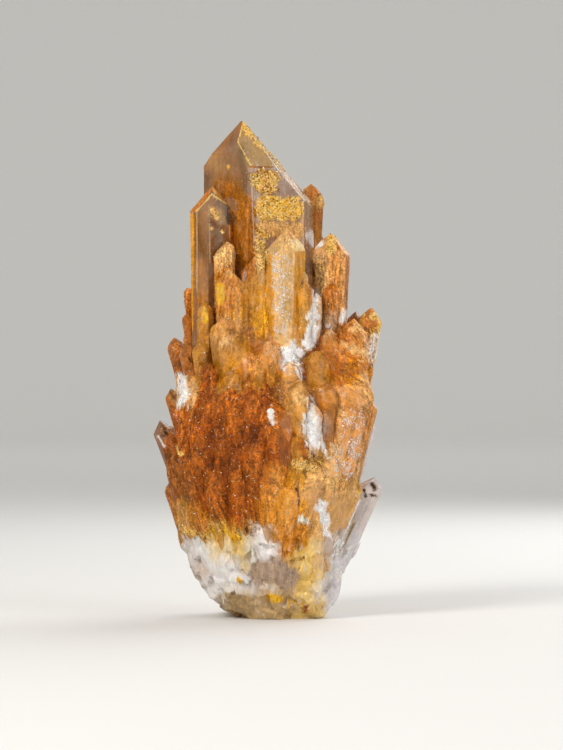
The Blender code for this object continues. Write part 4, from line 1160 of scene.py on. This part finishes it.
def quartz_material():
    n = Nodes("quartz_skin")
    p = n.shader
    tint = n.attribute("tint", "Color")
    clear = n.attribute("clear")
    grain = n.attribute("grain")
    iron = n.attribute("iron")
    crust = n.attribute("crust")
    # grains a few tenths of a millimetre across: pale quartz and dark iron
    cells = n.voronoi(0.00044, 3.1, "F1", "Color")
    cell_value = n.add("ShaderNodeSeparateColor")
    n.link(cells, cell_value.inputs[0])
    pale = n.math("MULTIPLY", n.ramp(cell_value.outputs[0], 0.72, 0.86), grain, clamp=True)
    dark = n.math("MULTIPLY", n.ramp(cell_value.outputs[1], 0.60, 0.80), grain, clamp=True)
    dark = n.math("MULTIPLY", dark, iron, clamp=True)
    pale = n.math("MULTIPLY", pale, iron, clamp=True)
    fog = n.noise(0.0016, 4.0, 0.6, seed=5.0)
    light = n.mix(1.0, tint, (1.9, 2.4, 1.7, 1), "MULTIPLY")
    base = n.mix(n.math("MULTIPLY", pale, 0.50), tint, light)
    base = n.mix(n.math("MULTIPLY", dark, 0.66), base, (0.13, 0.036, 0.003, 1))
    base = n.mix(n.ramp(fog, 0.35, 0.7, 0.0, 0.16), base, (0.90, 0.62, 0.28, 1), "OVERLAY")
    mottle = n.ramp(n.noise(0.0011, 5.0, 0.72, seed=12.0), 0.36, 0.64, 0.70, 1.19)
    amount = n.ramp(grain, 0.0, 0.6, 0.35, 1.0)
    base = n.mix(amount, base, mottle, "MULTIPLY")
    # fine fibres, and pale hairs where there is no iron
    fibre = n.noise_along(0.00060, 3.0, 0.62, seed=3.0)
    strands = n.math("MULTIPLY", n.ramp(grain, 0.05, 0.6, 0.25, 1.0),
                     n.ramp(iron, 0.1, 0.8, 0.30, 1.0), clamp=True)
    base = n.mix(strands, base, n.ramp(fibre, 0.36, 0.64, 0.47, 1.43), "MULTIPLY")
    hairs = n.ramp(n.noise_along(0.00075, 4.0, 0.66, seed=8.0), 0.54, 0.68)
    hairs = n.math("MULTIPLY", hairs, n.ramp(iron, 0.1, 0.7, 0.55, 0.0), clamp=True)
    base = n.mix(hairs, base, (0.92, 0.89, 0.86, 1))
    # the golden crust: yellow grains with dark gaps between them
    lit = n.math("MULTIPLY", n.ramp(cell_value.outputs[0], 0.40, 0.55), crust, clamp=True)
    gap = n.math("MULTIPLY", n.ramp(cell_value.outputs[1], 0.78, 0.88), crust, clamp=True)
    base = n.mix(n.math("MULTIPLY", lit, 0.85), base, (0.94, 0.63, 0.23, 1))
    base = n.mix(n.math("MULTIPLY", gap, 0.78), base, (0.16, 0.055, 0.012, 1))
    n.link(base, p.inputs["Base Color"])
    # clear faces are glossy, grainy ones dull with glints
    glint = n.ramp(cell_value.outputs[2], 0.82, 0.9, 0.0, 1.0)
    rough = n.ramp(grain, 0.0, 0.8, 0.12, 0.42)
    rough = n.math("ADD", rough, n.ramp(n.noise(0.003, 3.0, 0.6, seed=9.0), 0.3, 0.7, -0.02, 0.1))
    rough = n.math("SUBTRACT", rough, n.math("MULTIPLY", glint, n.math("MULTIPLY", grain, 0.35)), clamp=True)
    n.link(rough, p.inputs["Roughness"])
    veil = n.ramp(n.noise(0.0045, 4.0, 0.65, seed=2.0), 0.42, 0.70, 1.0, 0.88)
    n.link(n.math("MULTIPLY", clear, veil, clamp=True), p.inputs["Transmission Weight"])
    p.inputs["IOR"].default_value = 1.544
    p.inputs["Metallic"].default_value = 0.0
    p.inputs["Specular IOR Level"].default_value = 0.14
    p.inputs["Subsurface Weight"].default_value = 0.22
    p.inputs["Subsurface Radius"].default_value = (1.0, 0.60, 0.26)
    p.inputs["Subsurface Scale"].default_value = 0.0009
    # fine relief: grains, and growth lines across the prism faces
    fine = n.math("MULTIPLY", n.voronoi(0.00042, 3.1), n.math("MULTIPLY", grain, 1.0))
    lines = n.noise(0.0024, 3.0, 0.6, stretch=(0.12, 0.12, 7.0), seed=4.0)
    # each grain is a small flat face, tilted its own way
    coord = n.add("ShaderNodeTexCoord").outputs["Object"]
    shard = n.add("ShaderNodeTexVoronoi", feature="F1")
    n.link(coord, shard.inputs["Vector"])
    shard.inputs["Scale"].default_value = 1.0 / 0.00046
    scaled = n.add("ShaderNodeVectorMath", operation="SCALE")
    n.link(coord, scaled.inputs[0])
    scaled.inputs["Scale"].default_value = 1.0 / 0.00046
    inside = n.add("ShaderNodeVectorMath", operation="SUBTRACT")
    n.link(scaled.outputs[0], inside.inputs[0])
    spot = n.add("ShaderNodeVectorMath", operation="SCALE")
    n.link(shard.outputs["Position"], spot.inputs[0])
    spot.inputs["Scale"].default_value = 1.0 / 0.00046
    n.link(spot.outputs[0], inside.inputs[1])
    tilt = n.add("ShaderNodeVectorMath", operation="SUBTRACT")
    n.link(shard.outputs["Color"], tilt.inputs[0])
    tilt.inputs[1].default_value = (0.5, 0.5, 0.5)
    plane = n.add("ShaderNodeVectorMath", operation="DOT_PRODUCT")
    n.link(inside.outputs[0], plane.inputs[0])
    n.link(tilt.outputs[0], plane.inputs[1])
    faces = n.math("MULTIPLY", plane.outputs["Value"], n.math("MULTIPLY", grain, 2.6))
    height = n.math("ADD", n.math("MULTIPLY", fine, 0.5), n.math("MULTIPLY", lines, 0.10))
    height = n.math("ADD", height, faces)
    height = n.math("ADD", height, n.math("MULTIPLY", fibre, n.ramp(grain, 0.05, 0.6, 0.15, 1.6)))
    bump = n.add("ShaderNodeBump")
    bump.inputs["Strength"].default_value = 0.8
    bump.inputs["Distance"].default_value = 0.00016
    n.link(height, bump.inputs["Height"])
    n.link(bump.outputs[0], p.inputs["Normal"])
    smoky = n.add("ShaderNodeVolumeAbsorption")
    smoky.inputs["Color"].default_value = (0.80, 0.66, 0.50, 1)
    smoky.inputs["Density"].default_value = 11.0
    n.link(smoky.outputs[0], n.out.inputs["Volume"])
    return n.mat


def druse_material(name, rough, transmission, film=(0.80, 0.50, 0.20), gloss=0.5):
    n = Nodes(name)
    p = n.shader
    tint = n.attribute("tint", "Color")
    shade = n.ramp(n.noise(0.0006, 2.0, 0.5, seed=7.0), 0.3, 0.7, 0.0, 0.15)
    base = n.mix(shade, tint, (*film, 1))
    n.link(base, p.inputs["Base Color"])
    n.link(n.ramp(n.noise(0.0005, 2.0, 0.5, seed=1.0), 0.3, 0.7, rough * 0.6, rough * 1.4),
           p.inputs["Roughness"])
    p.inputs["IOR"].default_value = 1.544
    p.inputs["Specular IOR Level"].default_value = gloss
    p.inputs["Transmission Weight"].default_value = transmission
    return n.mat


# -------------------------------------------------------------------- druse
def scatter(name, co, tri, normals, density, tint, size, count, seed, seat, paints,
            spread, own, apart):
    """Tiny pointed grains, rooted in the surface where density allows."""
    rng = np.random.default_rng(seed)
    a, b, c = co[tri[:, 0]], co[tri[:, 1]], co[tri[:, 2]]
    area = np.linalg.norm(np.cross(b - a, c - a), axis=1) / 2
    w = area * density[tri].mean(1)
    if w.sum() <= 0:
        return None
    count = int(min(count, w.sum() / (size * size * apart)))
    idx = rng.choice(len(tri), count, p=w / w.sum())
    u, v = rng.random(count), rng.random(count)
    flip = u + v > 1
    u[flip], v[flip] = 1 - u[flip], 1 - v[flip]
    t = tri[idx]
    bary = np.stack([1 - u - v, u, v], 1)
    pos = (co[t] * bary[:, :, None]).sum(1)
    nrm = (normals[t] * bary[:, :, None]).sum(1)
    nrm /= np.linalg.norm(nrm, axis=1, keepdims=True)
    col = (tint[t] * bary[:, :, None]).sum(1)
    nrm = nrm + rng.normal(0, spread, (count, 3))
    nrm /= np.linalg.norm(nrm, axis=1, keepdims=True)
    side = np.cross(nrm, rng.normal(size=(count, 3)))
    side /= np.linalg.norm(side, axis=1, keepdims=True)
    other = np.cross(nrm, side)
    s = size * rng.uniform(0.5, 1.35, count) * (0.55 + 0.45 * rng.random(count))
    tall = s * rng.uniform(0.55, 1.15, count)
    # a square pyramid with its base sunk in the surface
    ring = [side, other, -side, -other]
    verts = np.stack([pos + r * s[:, None] * 0.5 - nrm * (s * seat)[:, None] for r in ring]
                     + [pos + nrm * tall[:, None] * 0.75], 1)
    base = np.arange(count)[:, None] * 5
    faces = np.concatenate([base + np.array(f)[None, :] for f in
                            ((0, 1, 4), (1, 2, 4), (2, 3, 4), (3, 0, 4), (0, 2, 1), (0, 3, 2))])
    keep = verts.reshape(-1, 3)
    keep[:, 2] = np.maximum(keep[:, 2], 0.0001)
    obj = to_object(name, keep, faces, np.zeros(len(faces)))
    palette = np.array([PAINT[k] for k in paints])
    chosen = palette[rng.integers(0, len(palette), count)]
    grains = col * own + chosen * (1 - own)
    tones = [0.8, 0.92, 1.0, 1.1] if paints[0] == "milk" else [0.4, 0.8, 1.15, 1.45]
    grains *= rng.choice(tones, count, p=[0.14, 0.22, 0.34, 0.30])[:, None]
    colour_layer(obj, "tint", np.repeat(np.clip(grains, 0, 1), 5, axis=0))
    return obj


# --------------------------------------------------------------- inclusions
# across, down, depth, size, colour
SPECKS = [
    (230, 167, -44, 1.7, "yellow"), (213, 214, -60, 1.8, "yellow"),
    (209, 211, -60, 1.1, "gold"), (217, 217, -61, 1.2, "yellow"),
    (212, 228, -60, 1.1, "yellow"), (223, 232, -62, 1.4, "yellow"),
    (219, 208, -58, 1.0, "milk"), (203, 254, -58, 1.9, "amber"),
    (372, 487, -30, 2.2, "dark"), (376, 496, -26, 1.6, "dark"),
    (366, 497, -30, 1.8, "dark"), (370, 430, -10, 2.4, "dark"),
    (163, 436, -12, 2.2, "dark"), (168, 449, -12, 1.8, "ochre"),
    (171, 398, -18, 2.2, "dark"),
]


def inclusions(skin_co, skin_tri):
    """Specks and thin healed veils sealed in the clear crystals."""
    tree = BVHTree.FromPolygons(skin_co.tolist(), skin_tri.tolist())
    rng = np.random.default_rng(301)
    ball = bmesh.new()
    bmesh.ops.create_icosphere(ball, subdivisions=1, radius=1.0)
    ball.verts.index_update()
    unit = np.array([v.co for v in ball.verts])
    faces = np.array([[v.index for v in f.verts] for f in ball.faces])
    ball.free()
    verts, tris, paints = [], [], []

    def sealed(where, size, move):
        """The place itself if it lies well inside, else one pushed in, or None."""
        hit, normal, _, far = tree.find_nearest(where)
        if (where - hit).dot(normal) < 0 and far > 1.5 * size:
            return where
        inner = hit - normal * 1.6 * size
        again, normal, _, far = tree.find_nearest(inner)
        good = (inner - again).dot(normal) < 0 and far > 1.45 * size
        return inner if move and good else None

    def blob(where, scale, spin, paint):
        shape = unit * (1 + 0.22 * rng.normal(size=(len(unit), 1))) * np.array(scale)
        tris.append(faces + sum(len(v) for v in verts))
        verts.append(shape @ np.array(spin).T + np.array(where))
        paints.append(np.repeat(PAINT[paint][None, :] * rng.uniform(0.8, 1.15),
                                len(unit), axis=0))

    for x, y, d, size, paint in SPECKS:
        turn = Matrix.Rotation(rng.uniform(0, 6.28), 3, (0.3, 0.8, 0.5))
        where = sealed(place(x, y, d), size * UNIT * 1.6, True)
        if where:
            blob(where, (size * UNIT, size * UNIT * 0.7, size * UNIT * 1.1), turn, paint)
    # veils: many flat flakes that lie in one slanting plane
    for middle, reach, tilt, many, paint in (
            ((226, 196, -32), (17, 9), 0.3, 130, "tawny"),
            ((222, 214, -34), (15, 12), -0.5, 110, "rust"),
            ((204, 262, -52), (8, 30), 1.2, 50, "satin"),
            ((217, 240, -56), (9, 16), 0.6, 60, "umber"),
            ((366, 520, -20), (7, 24), 0.5, 60, "milk")):
        for _ in range(many):
            u, v = rng.normal(0, 0.5, 2)
            x, y = middle[0] + reach[0] * u, middle[1] + reach[1] * v
            d = middle[2] + 6 * tilt * u + 5 * tilt * v + rng.normal(0, 0.8)
            size = rng.uniform(0.25, 0.75) * UNIT
            turn = (Matrix.Rotation(tilt, 3, "Y") @ Matrix.Rotation(rng.uniform(-0.4, 0.4), 3, "X"))
            where = sealed(place(x, y, d), size * 2.4, False)
            if where:
                blob(where, (size * 1.4, size * 0.22, size), turn, paint)
    obj = to_object("quartz_inclusions", np.concatenate(verts), np.concatenate(tris), None)
    colour_layer(obj, "tint", np.clip(np.concatenate(paints), 0, 1))
    obj.data.materials.append(druse_material("quartz_inclusions", 0.3, 0.0))
    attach(obj, "root")


# --------------------------------------------------------------------- build
def build():
    co, tri, which, kind, made = grow_union()
    print("union", len(tri), "t", round(time.time() - T0, 1))
    labels = np.stack([which, kind], 1)

    most = MOST_TRIANGLES

    # open places get small triangles, and hidden ones deep in grooves large ones
    co, tri, labels = refine(co, tri, labels, lambda mid: np.full(len(mid), 0.005))
    co = np.column_stack([co, openness(co, tri)])
    print("openness", len(tri), "t", round(time.time() - T0, 1))

    def limit(mid):
        across, down, depth = on_sheet(mid)
        seen = smoothstep(0.08, 0.40, mid[:, 3])
        lim = (0.0034 + (0.00084 - 0.0034) * seen) * (1.16 - 0.16 * smoothstep(30, 0, depth))
        lim = np.where(mid[:, 2] < 0.0002, 0.0030, lim)
        for (x0, y0), (x1, y1), half, *_, coat in MARKS:
            crisp = half < 2.6 or (coat == "gold" and y0 < 262)
            if not crisp:
                continue
            dx, dy = x1 - x0, y1 - y0
            t = np.clip(((across - x0) * dx + (down - y0) * dy) / (dx * dx + dy * dy), 0, 1)
            d = np.hypot(across - x0 - t * dx, down - y0 - t * dy)
            near = (d < half + 1.4) if half < 2.6 else (np.abs(d - half) < 4)
            near &= (depth < 25) & (seen > 0.2)
            lim = np.where(near, np.minimum(lim, 0.00034 if half < 1.5 else 0.00055), lim)
        return lim

    grow = 1.70
    for _ in range(6):
        fine = refine(co, tri, labels, lambda mid: limit(mid) * grow)
        if len(fine[1]) < most:
            break
        grow *= max(1.05, math.sqrt(len(fine[1]) / (0.96 * most)))
    co, tri, labels = fine
    co = co[:, :3]
    which, kind = labels[:, 0], labels[:, 1]
    print("refined", len(tri), "grow", round(grow, 3), "t", round(time.time() - T0, 1))

    n = len(co)
    edges = np.unique(np.sort(np.concatenate([tri[:, [0, 1]], tri[:, [1, 2]],
                                              tri[:, [2, 0]]]), 1), axis=0)
    count = np.bincount(edges.ravel(), minlength=n).astype(float)

    # looks are worked out once for every pair of a point and a facet there
    fn = np.cross(co[tri[:, 1]] - co[tri[:, 0]], co[tri[:, 2]] - co[tri[:, 0]])
    fn /= np.maximum(np.linalg.norm(fn, axis=1, keepdims=True), 1e-15)
    facet = facet_of(fn, which)
    turn = np.arctan2(fn[:, 1], fn[:, 0])
    sector = np.floor((turn + math.pi) / (2 * math.pi) * 12).astype(int) % 12
    sector = np.where(fn[:, 2] > 0.35, sector + 12, sector)
    label = (which * 64 + sector) * 32 + facet
    corner_v = tri.ravel()
    corner_l = np.repeat(label, 3)
    big = int(label.max()) + 1
    _, first, inverse = np.unique(corner_v * big + corner_l, return_index=True,
                                  return_inverse=True)
    inverse = inverse.reshape(-1)
    pv, pl = corner_v[first], corner_l[first]
    p_facet, p_sector, p_which = pl % 32, (pl // 32) % 64, pl // 2048
    facing = -np.repeat(fn[:, 1], 3)[first]
    tint, clear, grain, worn, iron, coats = recipe(co[pv], p_which, p_facet, p_sector,
                                                   facing, made)
    share_n = np.bincount(pv, minlength=n).astype(float)

    def at_points(values):
        return np.bincount(pv, values, n) / share_n

    v_clear, v_grain, v_worn = at_points(clear), at_points(grain), at_points(worn)
    coats = {k: at_points(v) for k, v in coats.items()}

    # crust fills the grooves up and leaves the ridges nearly sharp; in the
    # rusty part the thin crystals are grown together in one fibrous mass
    floor = co[:, 2] < 1e-5
    across, down, depth = on_sheet(co)
    soft = v_worn * smoothstep(0.05, 0.4, v_grain)
    wander = 14 * layers(co, 0.009, 141)
    fuse = (smoothstep(166, 186, across + wander) * smoothstep(292, 268, across + wander)
            * smoothstep(376, 402, down + wander) * smoothstep(548, 522, down)
            * smoothstep(-2, -26, depth))
    fuse = np.maximum(fuse, 0.6 * smoothstep(0.0, 0.4, layers(co, 0.012, 149))
                      * smoothstep(5, 30, depth) * smoothstep(360, 400, down)
                      * smoothstep(0.5, 0.2, v_clear))
    fuse = np.maximum(fuse, 0.55 * smoothstep(280, 296, across + wander)
                      * smoothstep(354, 338, across + wander)
                      * smoothstep(424, 448, down + wander) * smoothstep(-2, -26, depth))
    fuse = np.maximum(fuse, 0.40 * smoothstep(230, 246, across + wander)
                      * smoothstep(308, 294, across + wander)
                      * smoothstep(318, 346, down + wander)
                      * smoothstep(450, 420, down + wander) * smoothstep(-2, -26, depth))
    fuse = np.maximum(fuse, 0.95 * smoothstep(252, 268, across + wander)
                      * smoothstep(314, 298, across + wander)
                      * smoothstep(440, 466, down + wander) * smoothstep(-2, -26, depth))
    fuse = np.maximum(fuse, 0.55 * smoothstep(308, 324, across + wander)
                      * smoothstep(386, 372, across) * smoothstep(330, 346, down)
                      * smoothstep(408, 392, down) * smoothstep(-2, -26, depth))
    fuse = np.maximum(fuse, 0.90 * smoothstep(236, 248, across) * smoothstep(274, 266, across)
                      * smoothstep(262, 280, down) * smoothstep(350, 330, down)
                      * smoothstep(-2, -26, depth))
    fuse *= smoothstep(0.62, 0.4, v_clear)
    base = smoothstep(524, 556, down) * smoothstep(0.62, 0.4, v_clear)
    fuse = np.maximum(fuse, 0.35 * base)
    fuse[floor] = 0
    soft[floor] = 0
    p = co.copy()
    for step in range(14):
        if step % 4 == 0:
            nrm = vertex_normals(p, tri)
        d = neighbours_mean(p, edges, count) - p
        out = (d * nrm).sum(1)
        p += d * np.where(out > 0, 0.85 * soft, 0.07 * soft)[:, None]
    for step in range(56):
        p += (neighbours_mean(p, edges, count) - p) * (0.55 * fuse)[:, None]
    nrm = vertex_normals(p, tri)
    p += nrm * (0.0007 * fuse * (1 - base))[:, None]
    p[:, 2] = np.maximum(p[:, 2], 0.0)
    p[floor, 2] = 0.0
    nrm = vertex_normals(p, tri)

    # how far each place stands out (ridges) or lies in (grooves)
    bend = ((p - neighbours_mean(p, edges, count)) * nrm).sum(1)
    for _ in range(4):
        bend = 0.5 * bend + 0.5 * neighbours_mean(bend, edges, count)
    bend = np.where(bend > 0, bend / 0.000017, bend / 0.00003)
    bend = np.clip(bend, -1.5, 1.5)

    # fibres: relief drawn out along the way that the cluster grew here
    lean = (across - 266.0) / 230.0 * smoothstep(300, 470, down)
    along = np.stack([lean, depth / 420.0, np.ones(n)], 1)
    along /= np.linalg.norm(along, axis=1, keepdims=True)
    run = (p * along).sum(1, keepdims=True)
    thread = p - along * run * 0.92
    thick = 1 - 2 * np.abs(noise3(thread, 0.0030, 151))
    fibres = 0.5 * noise3(thread, 0.0009, 131) + 0.5 * (1 - 2 * np.abs(noise3(thread, 0.0018, 137)))
    lumps = layers(p, 0.0034, 101)
    knobs = layers(p, 0.0013, 107)
    sugar = noise3(p, 0.00055, 113)
    lift = v_grain * (0.00011 * lumps + 0.00010 * np.abs(knobs) + 0.00008 * sugar
                      + 0.00014 * fibres)
    lift += fuse * (1 - base) * (0.00062 * thick + 0.00042 * fibres)

    # the broken base is chipped in small hollow faces
    rng = np.random.default_rng(157)
    bare = p
    spots = np.where(base > 0.3)[0]
    if len(spots):
        seeds = p[rng.choice(spots, 230, replace=False)]
        tree = KDTree(len(seeds))
        for k, c in enumerate(seeds):
            tree.insert(Vector(c), k)
        tree.balance()
        near = np.array([tree.find(Vector(c))[1] for c in p[spots]])
        slope = rng.normal(0, 0.36, (len(seeds), 3))
        chip = ((p[spots] - seeds[near]) * slope[near]).sum(1)
        chip = base[spots] * smoothstep(0.34, 0.22, v_clear[spots]) * np.clip(chip, -0.0008, 0.0008)
        lift[spots] += chip
        bare = p.copy()
        bare[spots] += nrm[spots] * chip[:, None]
    crease = creases(bare, tri, 27)
    lift += 0.00012 * np.maximum(coats["gold"], coats["white"])
    lift += coats["gold"] * smoothstep(215, 195, down) * smoothstep(0.3, 0.1, -nrm[:, 1]) * (
        0.00035 + 0.00050 * noise3(p, 0.0016, 167))
    lift[floor] = 0
    p += nrm * lift[:, None]
    p[:, 2] = np.maximum(p[:, 2], 0.0)
    p[floor, 2] = 0.0
    p[:, 2] = np.minimum(p[:, 2], CAD_BOX[1][2])
    nrm = vertex_normals(p, tri)

    # painted highlight and painted shade: the thin ridges are painted lighter amber, as if light came through
    # them, and the grooves are painted darker, as if in shade
    crusty = smoothstep(0.1, 0.5, grain) * (1 - 0.8 * base[pv])
    ridge_highlight = np.clip(bend[pv], 0, 1) * crusty
    groove_shade = np.clip(-bend[pv], 0, 1) * crusty
    glow = smoothstep(0.08, 0.26, tint[:, 1])[:, None]
    amber = PAINT["tawny"] * (1 - glow) + PAINT["apricot"] * glow
    # painted highlight along the ridges
    tint = tint * (1 - 0.36 * ridge_highlight[:, None]) + amber * 0.42 * ridge_highlight[:, None]
    # painted shade in the grooves
    tint = tint * (1 - 0.48 * groove_shade[:, None]) + PAINT["umber"] * 0.34 * groove_shade[:, None]
    streak = np.clip(0.6 * fibres + 0.4 * thick, -1, 1)[pv]
    ribbed = smoothstep(0.05, 0.35, grain) * (1 - 0.8 * base[pv])
    tint = tint * (1 + (0.58 - 0.20 * glow[:, 0]) * streak * ribbed)[:, None]
    # the glassy crystal number 3 is painted golden along its outstanding edges, and is less clear there
    rim = smoothstep(0.25, 0.9, bend[pv]) * smoothstep(0.3, 0.6, clear) * (p_which == 3)
    rim *= smoothstep(0.1, 0.6, layers(p, 0.004, 163)[pv] + 0.55)
    tint = tint * (1 - 0.7 * rim[:, None]) + PAINT["golden"] * 0.7 * rim[:, None]
    clear = clear * (1 - 0.45 * rim)
    tint = np.clip(tint, 0, 1)

    smooth = (soft[tri].mean(1) > 0.12) | (v_grain[tri].mean(1) > 0.35) | (fuse[tri].mean(1) > 0.3)
    skin = to_object("quartz_skin", p, tri, smooth)
    colour_layer(skin, "tint", tint[inverse], "CORNER")
    value_layer(skin, "clear", clear[inverse], "CORNER")
    value_layer(skin, "grain", grain[inverse], "CORNER")
    value_layer(skin, "iron", iron[inverse], "CORNER")
    value_layer(skin, "crust", coats["gold"])
    layer = skin.data.attributes.new("thread", "FLOAT_VECTOR", "POINT")
    layer.data.foreach_set("vector", (p - along * run * 0.88).astype(np.float32).ravel())
    ends = np.empty(len(skin.data.edges) * 2, dtype=np.int32)
    skin.data.edges.foreach_get("vertices", ends)
    ends = np.sort(ends.reshape(-1, 2), 1).astype(np.int64)
    skin.data.edges.foreach_set("use_edge_sharp", np.isin(ends[:, 0] * n + ends[:, 1], crease))
    v_tint = np.stack([at_points(tint[:, k]) for k in range(3)], 1)
    skin.data.materials.append(quartz_material())
    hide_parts("quartz_cluster")
    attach(skin, "root")
    print("skin", len(skin.data.polygons), "t", round(time.time() - T0, 1))

    share = 1.0
    coats["rust"][floor] = 0
    coats["cream"][floor] = 0
    for (name, coat, size, most, seed, seat, paints, spread, own, rough, through, film,
         gloss, apart) in (
            ("druse_gold", "gold", 0.00054, 28000, 5, 0.25,
             ("butter", "yellow", "gold", "butter", "yellow", "lemon"), 0.6, 0.05, 0.22, 0.1,
             (0.90, 0.62, 0.22), 0.35, 0.55),
            ("druse_white", "white", 0.00038, 26000, 6, 0.25,
             ("milk", "milk", "milk"), 0.5, 0.10, 0.16, 0.2, (0.95, 0.93, 0.90),
             0.5, 0.55),
            ("druse_frost", "frost", 0.00050, 9000, 9, 0.2,
             ("milk", "milk", "milk"), 0.6, 0.0, 0.14, 0.1, (0.95, 0.93, 0.88), 0.5, 0.46),
            # partly painted highlight: pale grains standing in for sparkle
            ("druse_glint", "glint", 0.00044, 11000, 10, 0.2,
             ("milk", "cream", "butter"), 0.6, 0.0, 0.14, 0.1, (0.95, 0.92, 0.86), 0.5, 0.55),
            ("druse_rust", "rust", 0.00030, 31000, 7, 0.3,
             ("tawny", "orange", "rust", "golden"), 0.5, 0.84, 0.30, 0.0, (0.62, 0.26, 0.05),
             0.12, 0.55),
            ("druse_cream", "cream", 0.00034, 26000, 8, 0.3,
             ("cream", "apricot", "gold"), 0.5, 0.80, 0.2, 0.1, (0.84, 0.56, 0.28),
             0.2, 0.55)):
        obj = scatter(name, p, tri, nrm, coats[coat], v_tint, size, most * share, seed,
                      seat, paints, spread, own, apart)
        if obj is None:
            continue
        obj.data.materials.append(druse_material(name, rough, through, film, gloss))
        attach(obj, "root")
        print(name, len(obj.data.polygons), "t", round(time.time() - T0, 1))
    return p, tri


# ---------------------------------------------------------------- the studio
def studio():
    scene = bpy.context.scene
    cam = bpy.data.cameras.new("camera")
    eye = bpy.data.objects.new("camera", cam)
    scene.collection.objects.link(eye)
    eye.location = ((EYE_X - FOOT_X) * UNIT, (-EYE_FAR - FOOT_DEPTH) * UNIT,
                    (FOOT_Y - EYE_Y) * UNIT)
    eye.rotation_euler = (math.radians(90), 0, 0)
    cam.sensor_fit = "AUTO"
    cam.sensor_width = 36.0
    cam.angle = 2 * math.atan(IMAGE_H / 2 / EYE_FAR)
    cam.clip_start = 0.05
    cam.clip_end = 20.0
    scene.camera = eye

    # a pale sweep all the way round: flat floor, curved up into a wall
    mesh = bpy.data.meshes.new("backdrop")
    bm = bmesh.new()
    profile = [(0.0, 0.0), (2.4, 0.0)]
    for k in range(1, 17):
        a = math.radians(90 * k / 16)
        profile.append((2.4 + 0.8 * math.sin(a), 0.8 - 0.8 * math.cos(a)))
    profile.append((3.2, 2.6))
    around = 72
    centre = bm.verts.new((0, 0, 0))
    rows = [[bm.verts.new((r * math.cos(2 * math.pi * k / around),
                           r * math.sin(2 * math.pi * k / around), z))
             for k in range(around)] for r, z in profile[1:]]
    for k in range(around):
        bm.faces.new((centre, rows[0][k], rows[0][(k + 1) % around]))
    for r0, r1 in zip(rows, rows[1:]):
        for k in range(around):
            j = (k + 1) % around
            bm.faces.new((r0[k], r1[k], r1[j], r0[j]))
    bmesh.ops.recalc_face_normals(bm, faces=bm.faces[:])
    bm.to_mesh(mesh)
    bm.free()
    mesh.polygons.foreach_set("use_smooth", [True] * len(mesh.polygons))
    sheet = bpy.data.objects.new("backdrop", mesh)
    scene.collection.objects.link(sheet)
    mat = bpy.data.materials.new("backdrop")
    mat.use_nodes = True
    p = mat.node_tree.nodes["Principled BSDF"]
    p.inputs["Base Color"].default_value = (0.78, 0.77, 0.75, 1)
    p.inputs["Roughness"].default_value = 0.9
    sheet.data.materials.append(mat)

    def softbox(name, where, aim, size, power, colour=(1, 1, 1)):
        light = bpy.data.lights.new(name, "AREA")
        light.shape = "RECTANGLE"
        light.size, light.size_y = size
        light.energy = power
        light.color = colour
        obj = bpy.data.objects.new(name, light)
        scene.collection.objects.link(obj)
        obj.location = where
        obj.rotation_euler = (Vector(aim) - Vector(where)).to_track_quat("-Z", "Y").to_euler()
        return obj

    softbox("key", (-0.42, -0.55, 0.55), (0, 0, 0.07), (0.26, 0.26), 3.9, (1.0, 0.97, 0.93))
    softbox("fill", (0.60, -0.45, 0.25), (0, 0, 0.07), (0.42, 0.42), 1.7, (0.98, 0.98, 1.0))
    softbox("rim", (0.32, 0.38, 0.42), (0, 0, 0.08), (0.55, 0.55), 2.2)

    softbox("ceiling", (0, 0.2, 2.5), (0, 0.2, 0), (4.0, 4.0), 8.0)
    softbox("wall", (0, 1.1, 1.9), (0, 3.2, 0.9), (2.5, 0.8), 11.0)

    world = bpy.data.worlds.new("studio")
    world.use_nodes = True
    back = world.node_tree.nodes["Background"]
    back.inputs[0].default_value = (1.0, 0.99, 0.97, 1)
    back.inputs[1].default_value = 0.48
    scene.world = world
    scene.view_settings.view_transform = "Standard"
    scene.view_settings.look = "None"


inclusions(*build())
studio()
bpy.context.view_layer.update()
print("scene built in", round(time.time() - T0, 1))
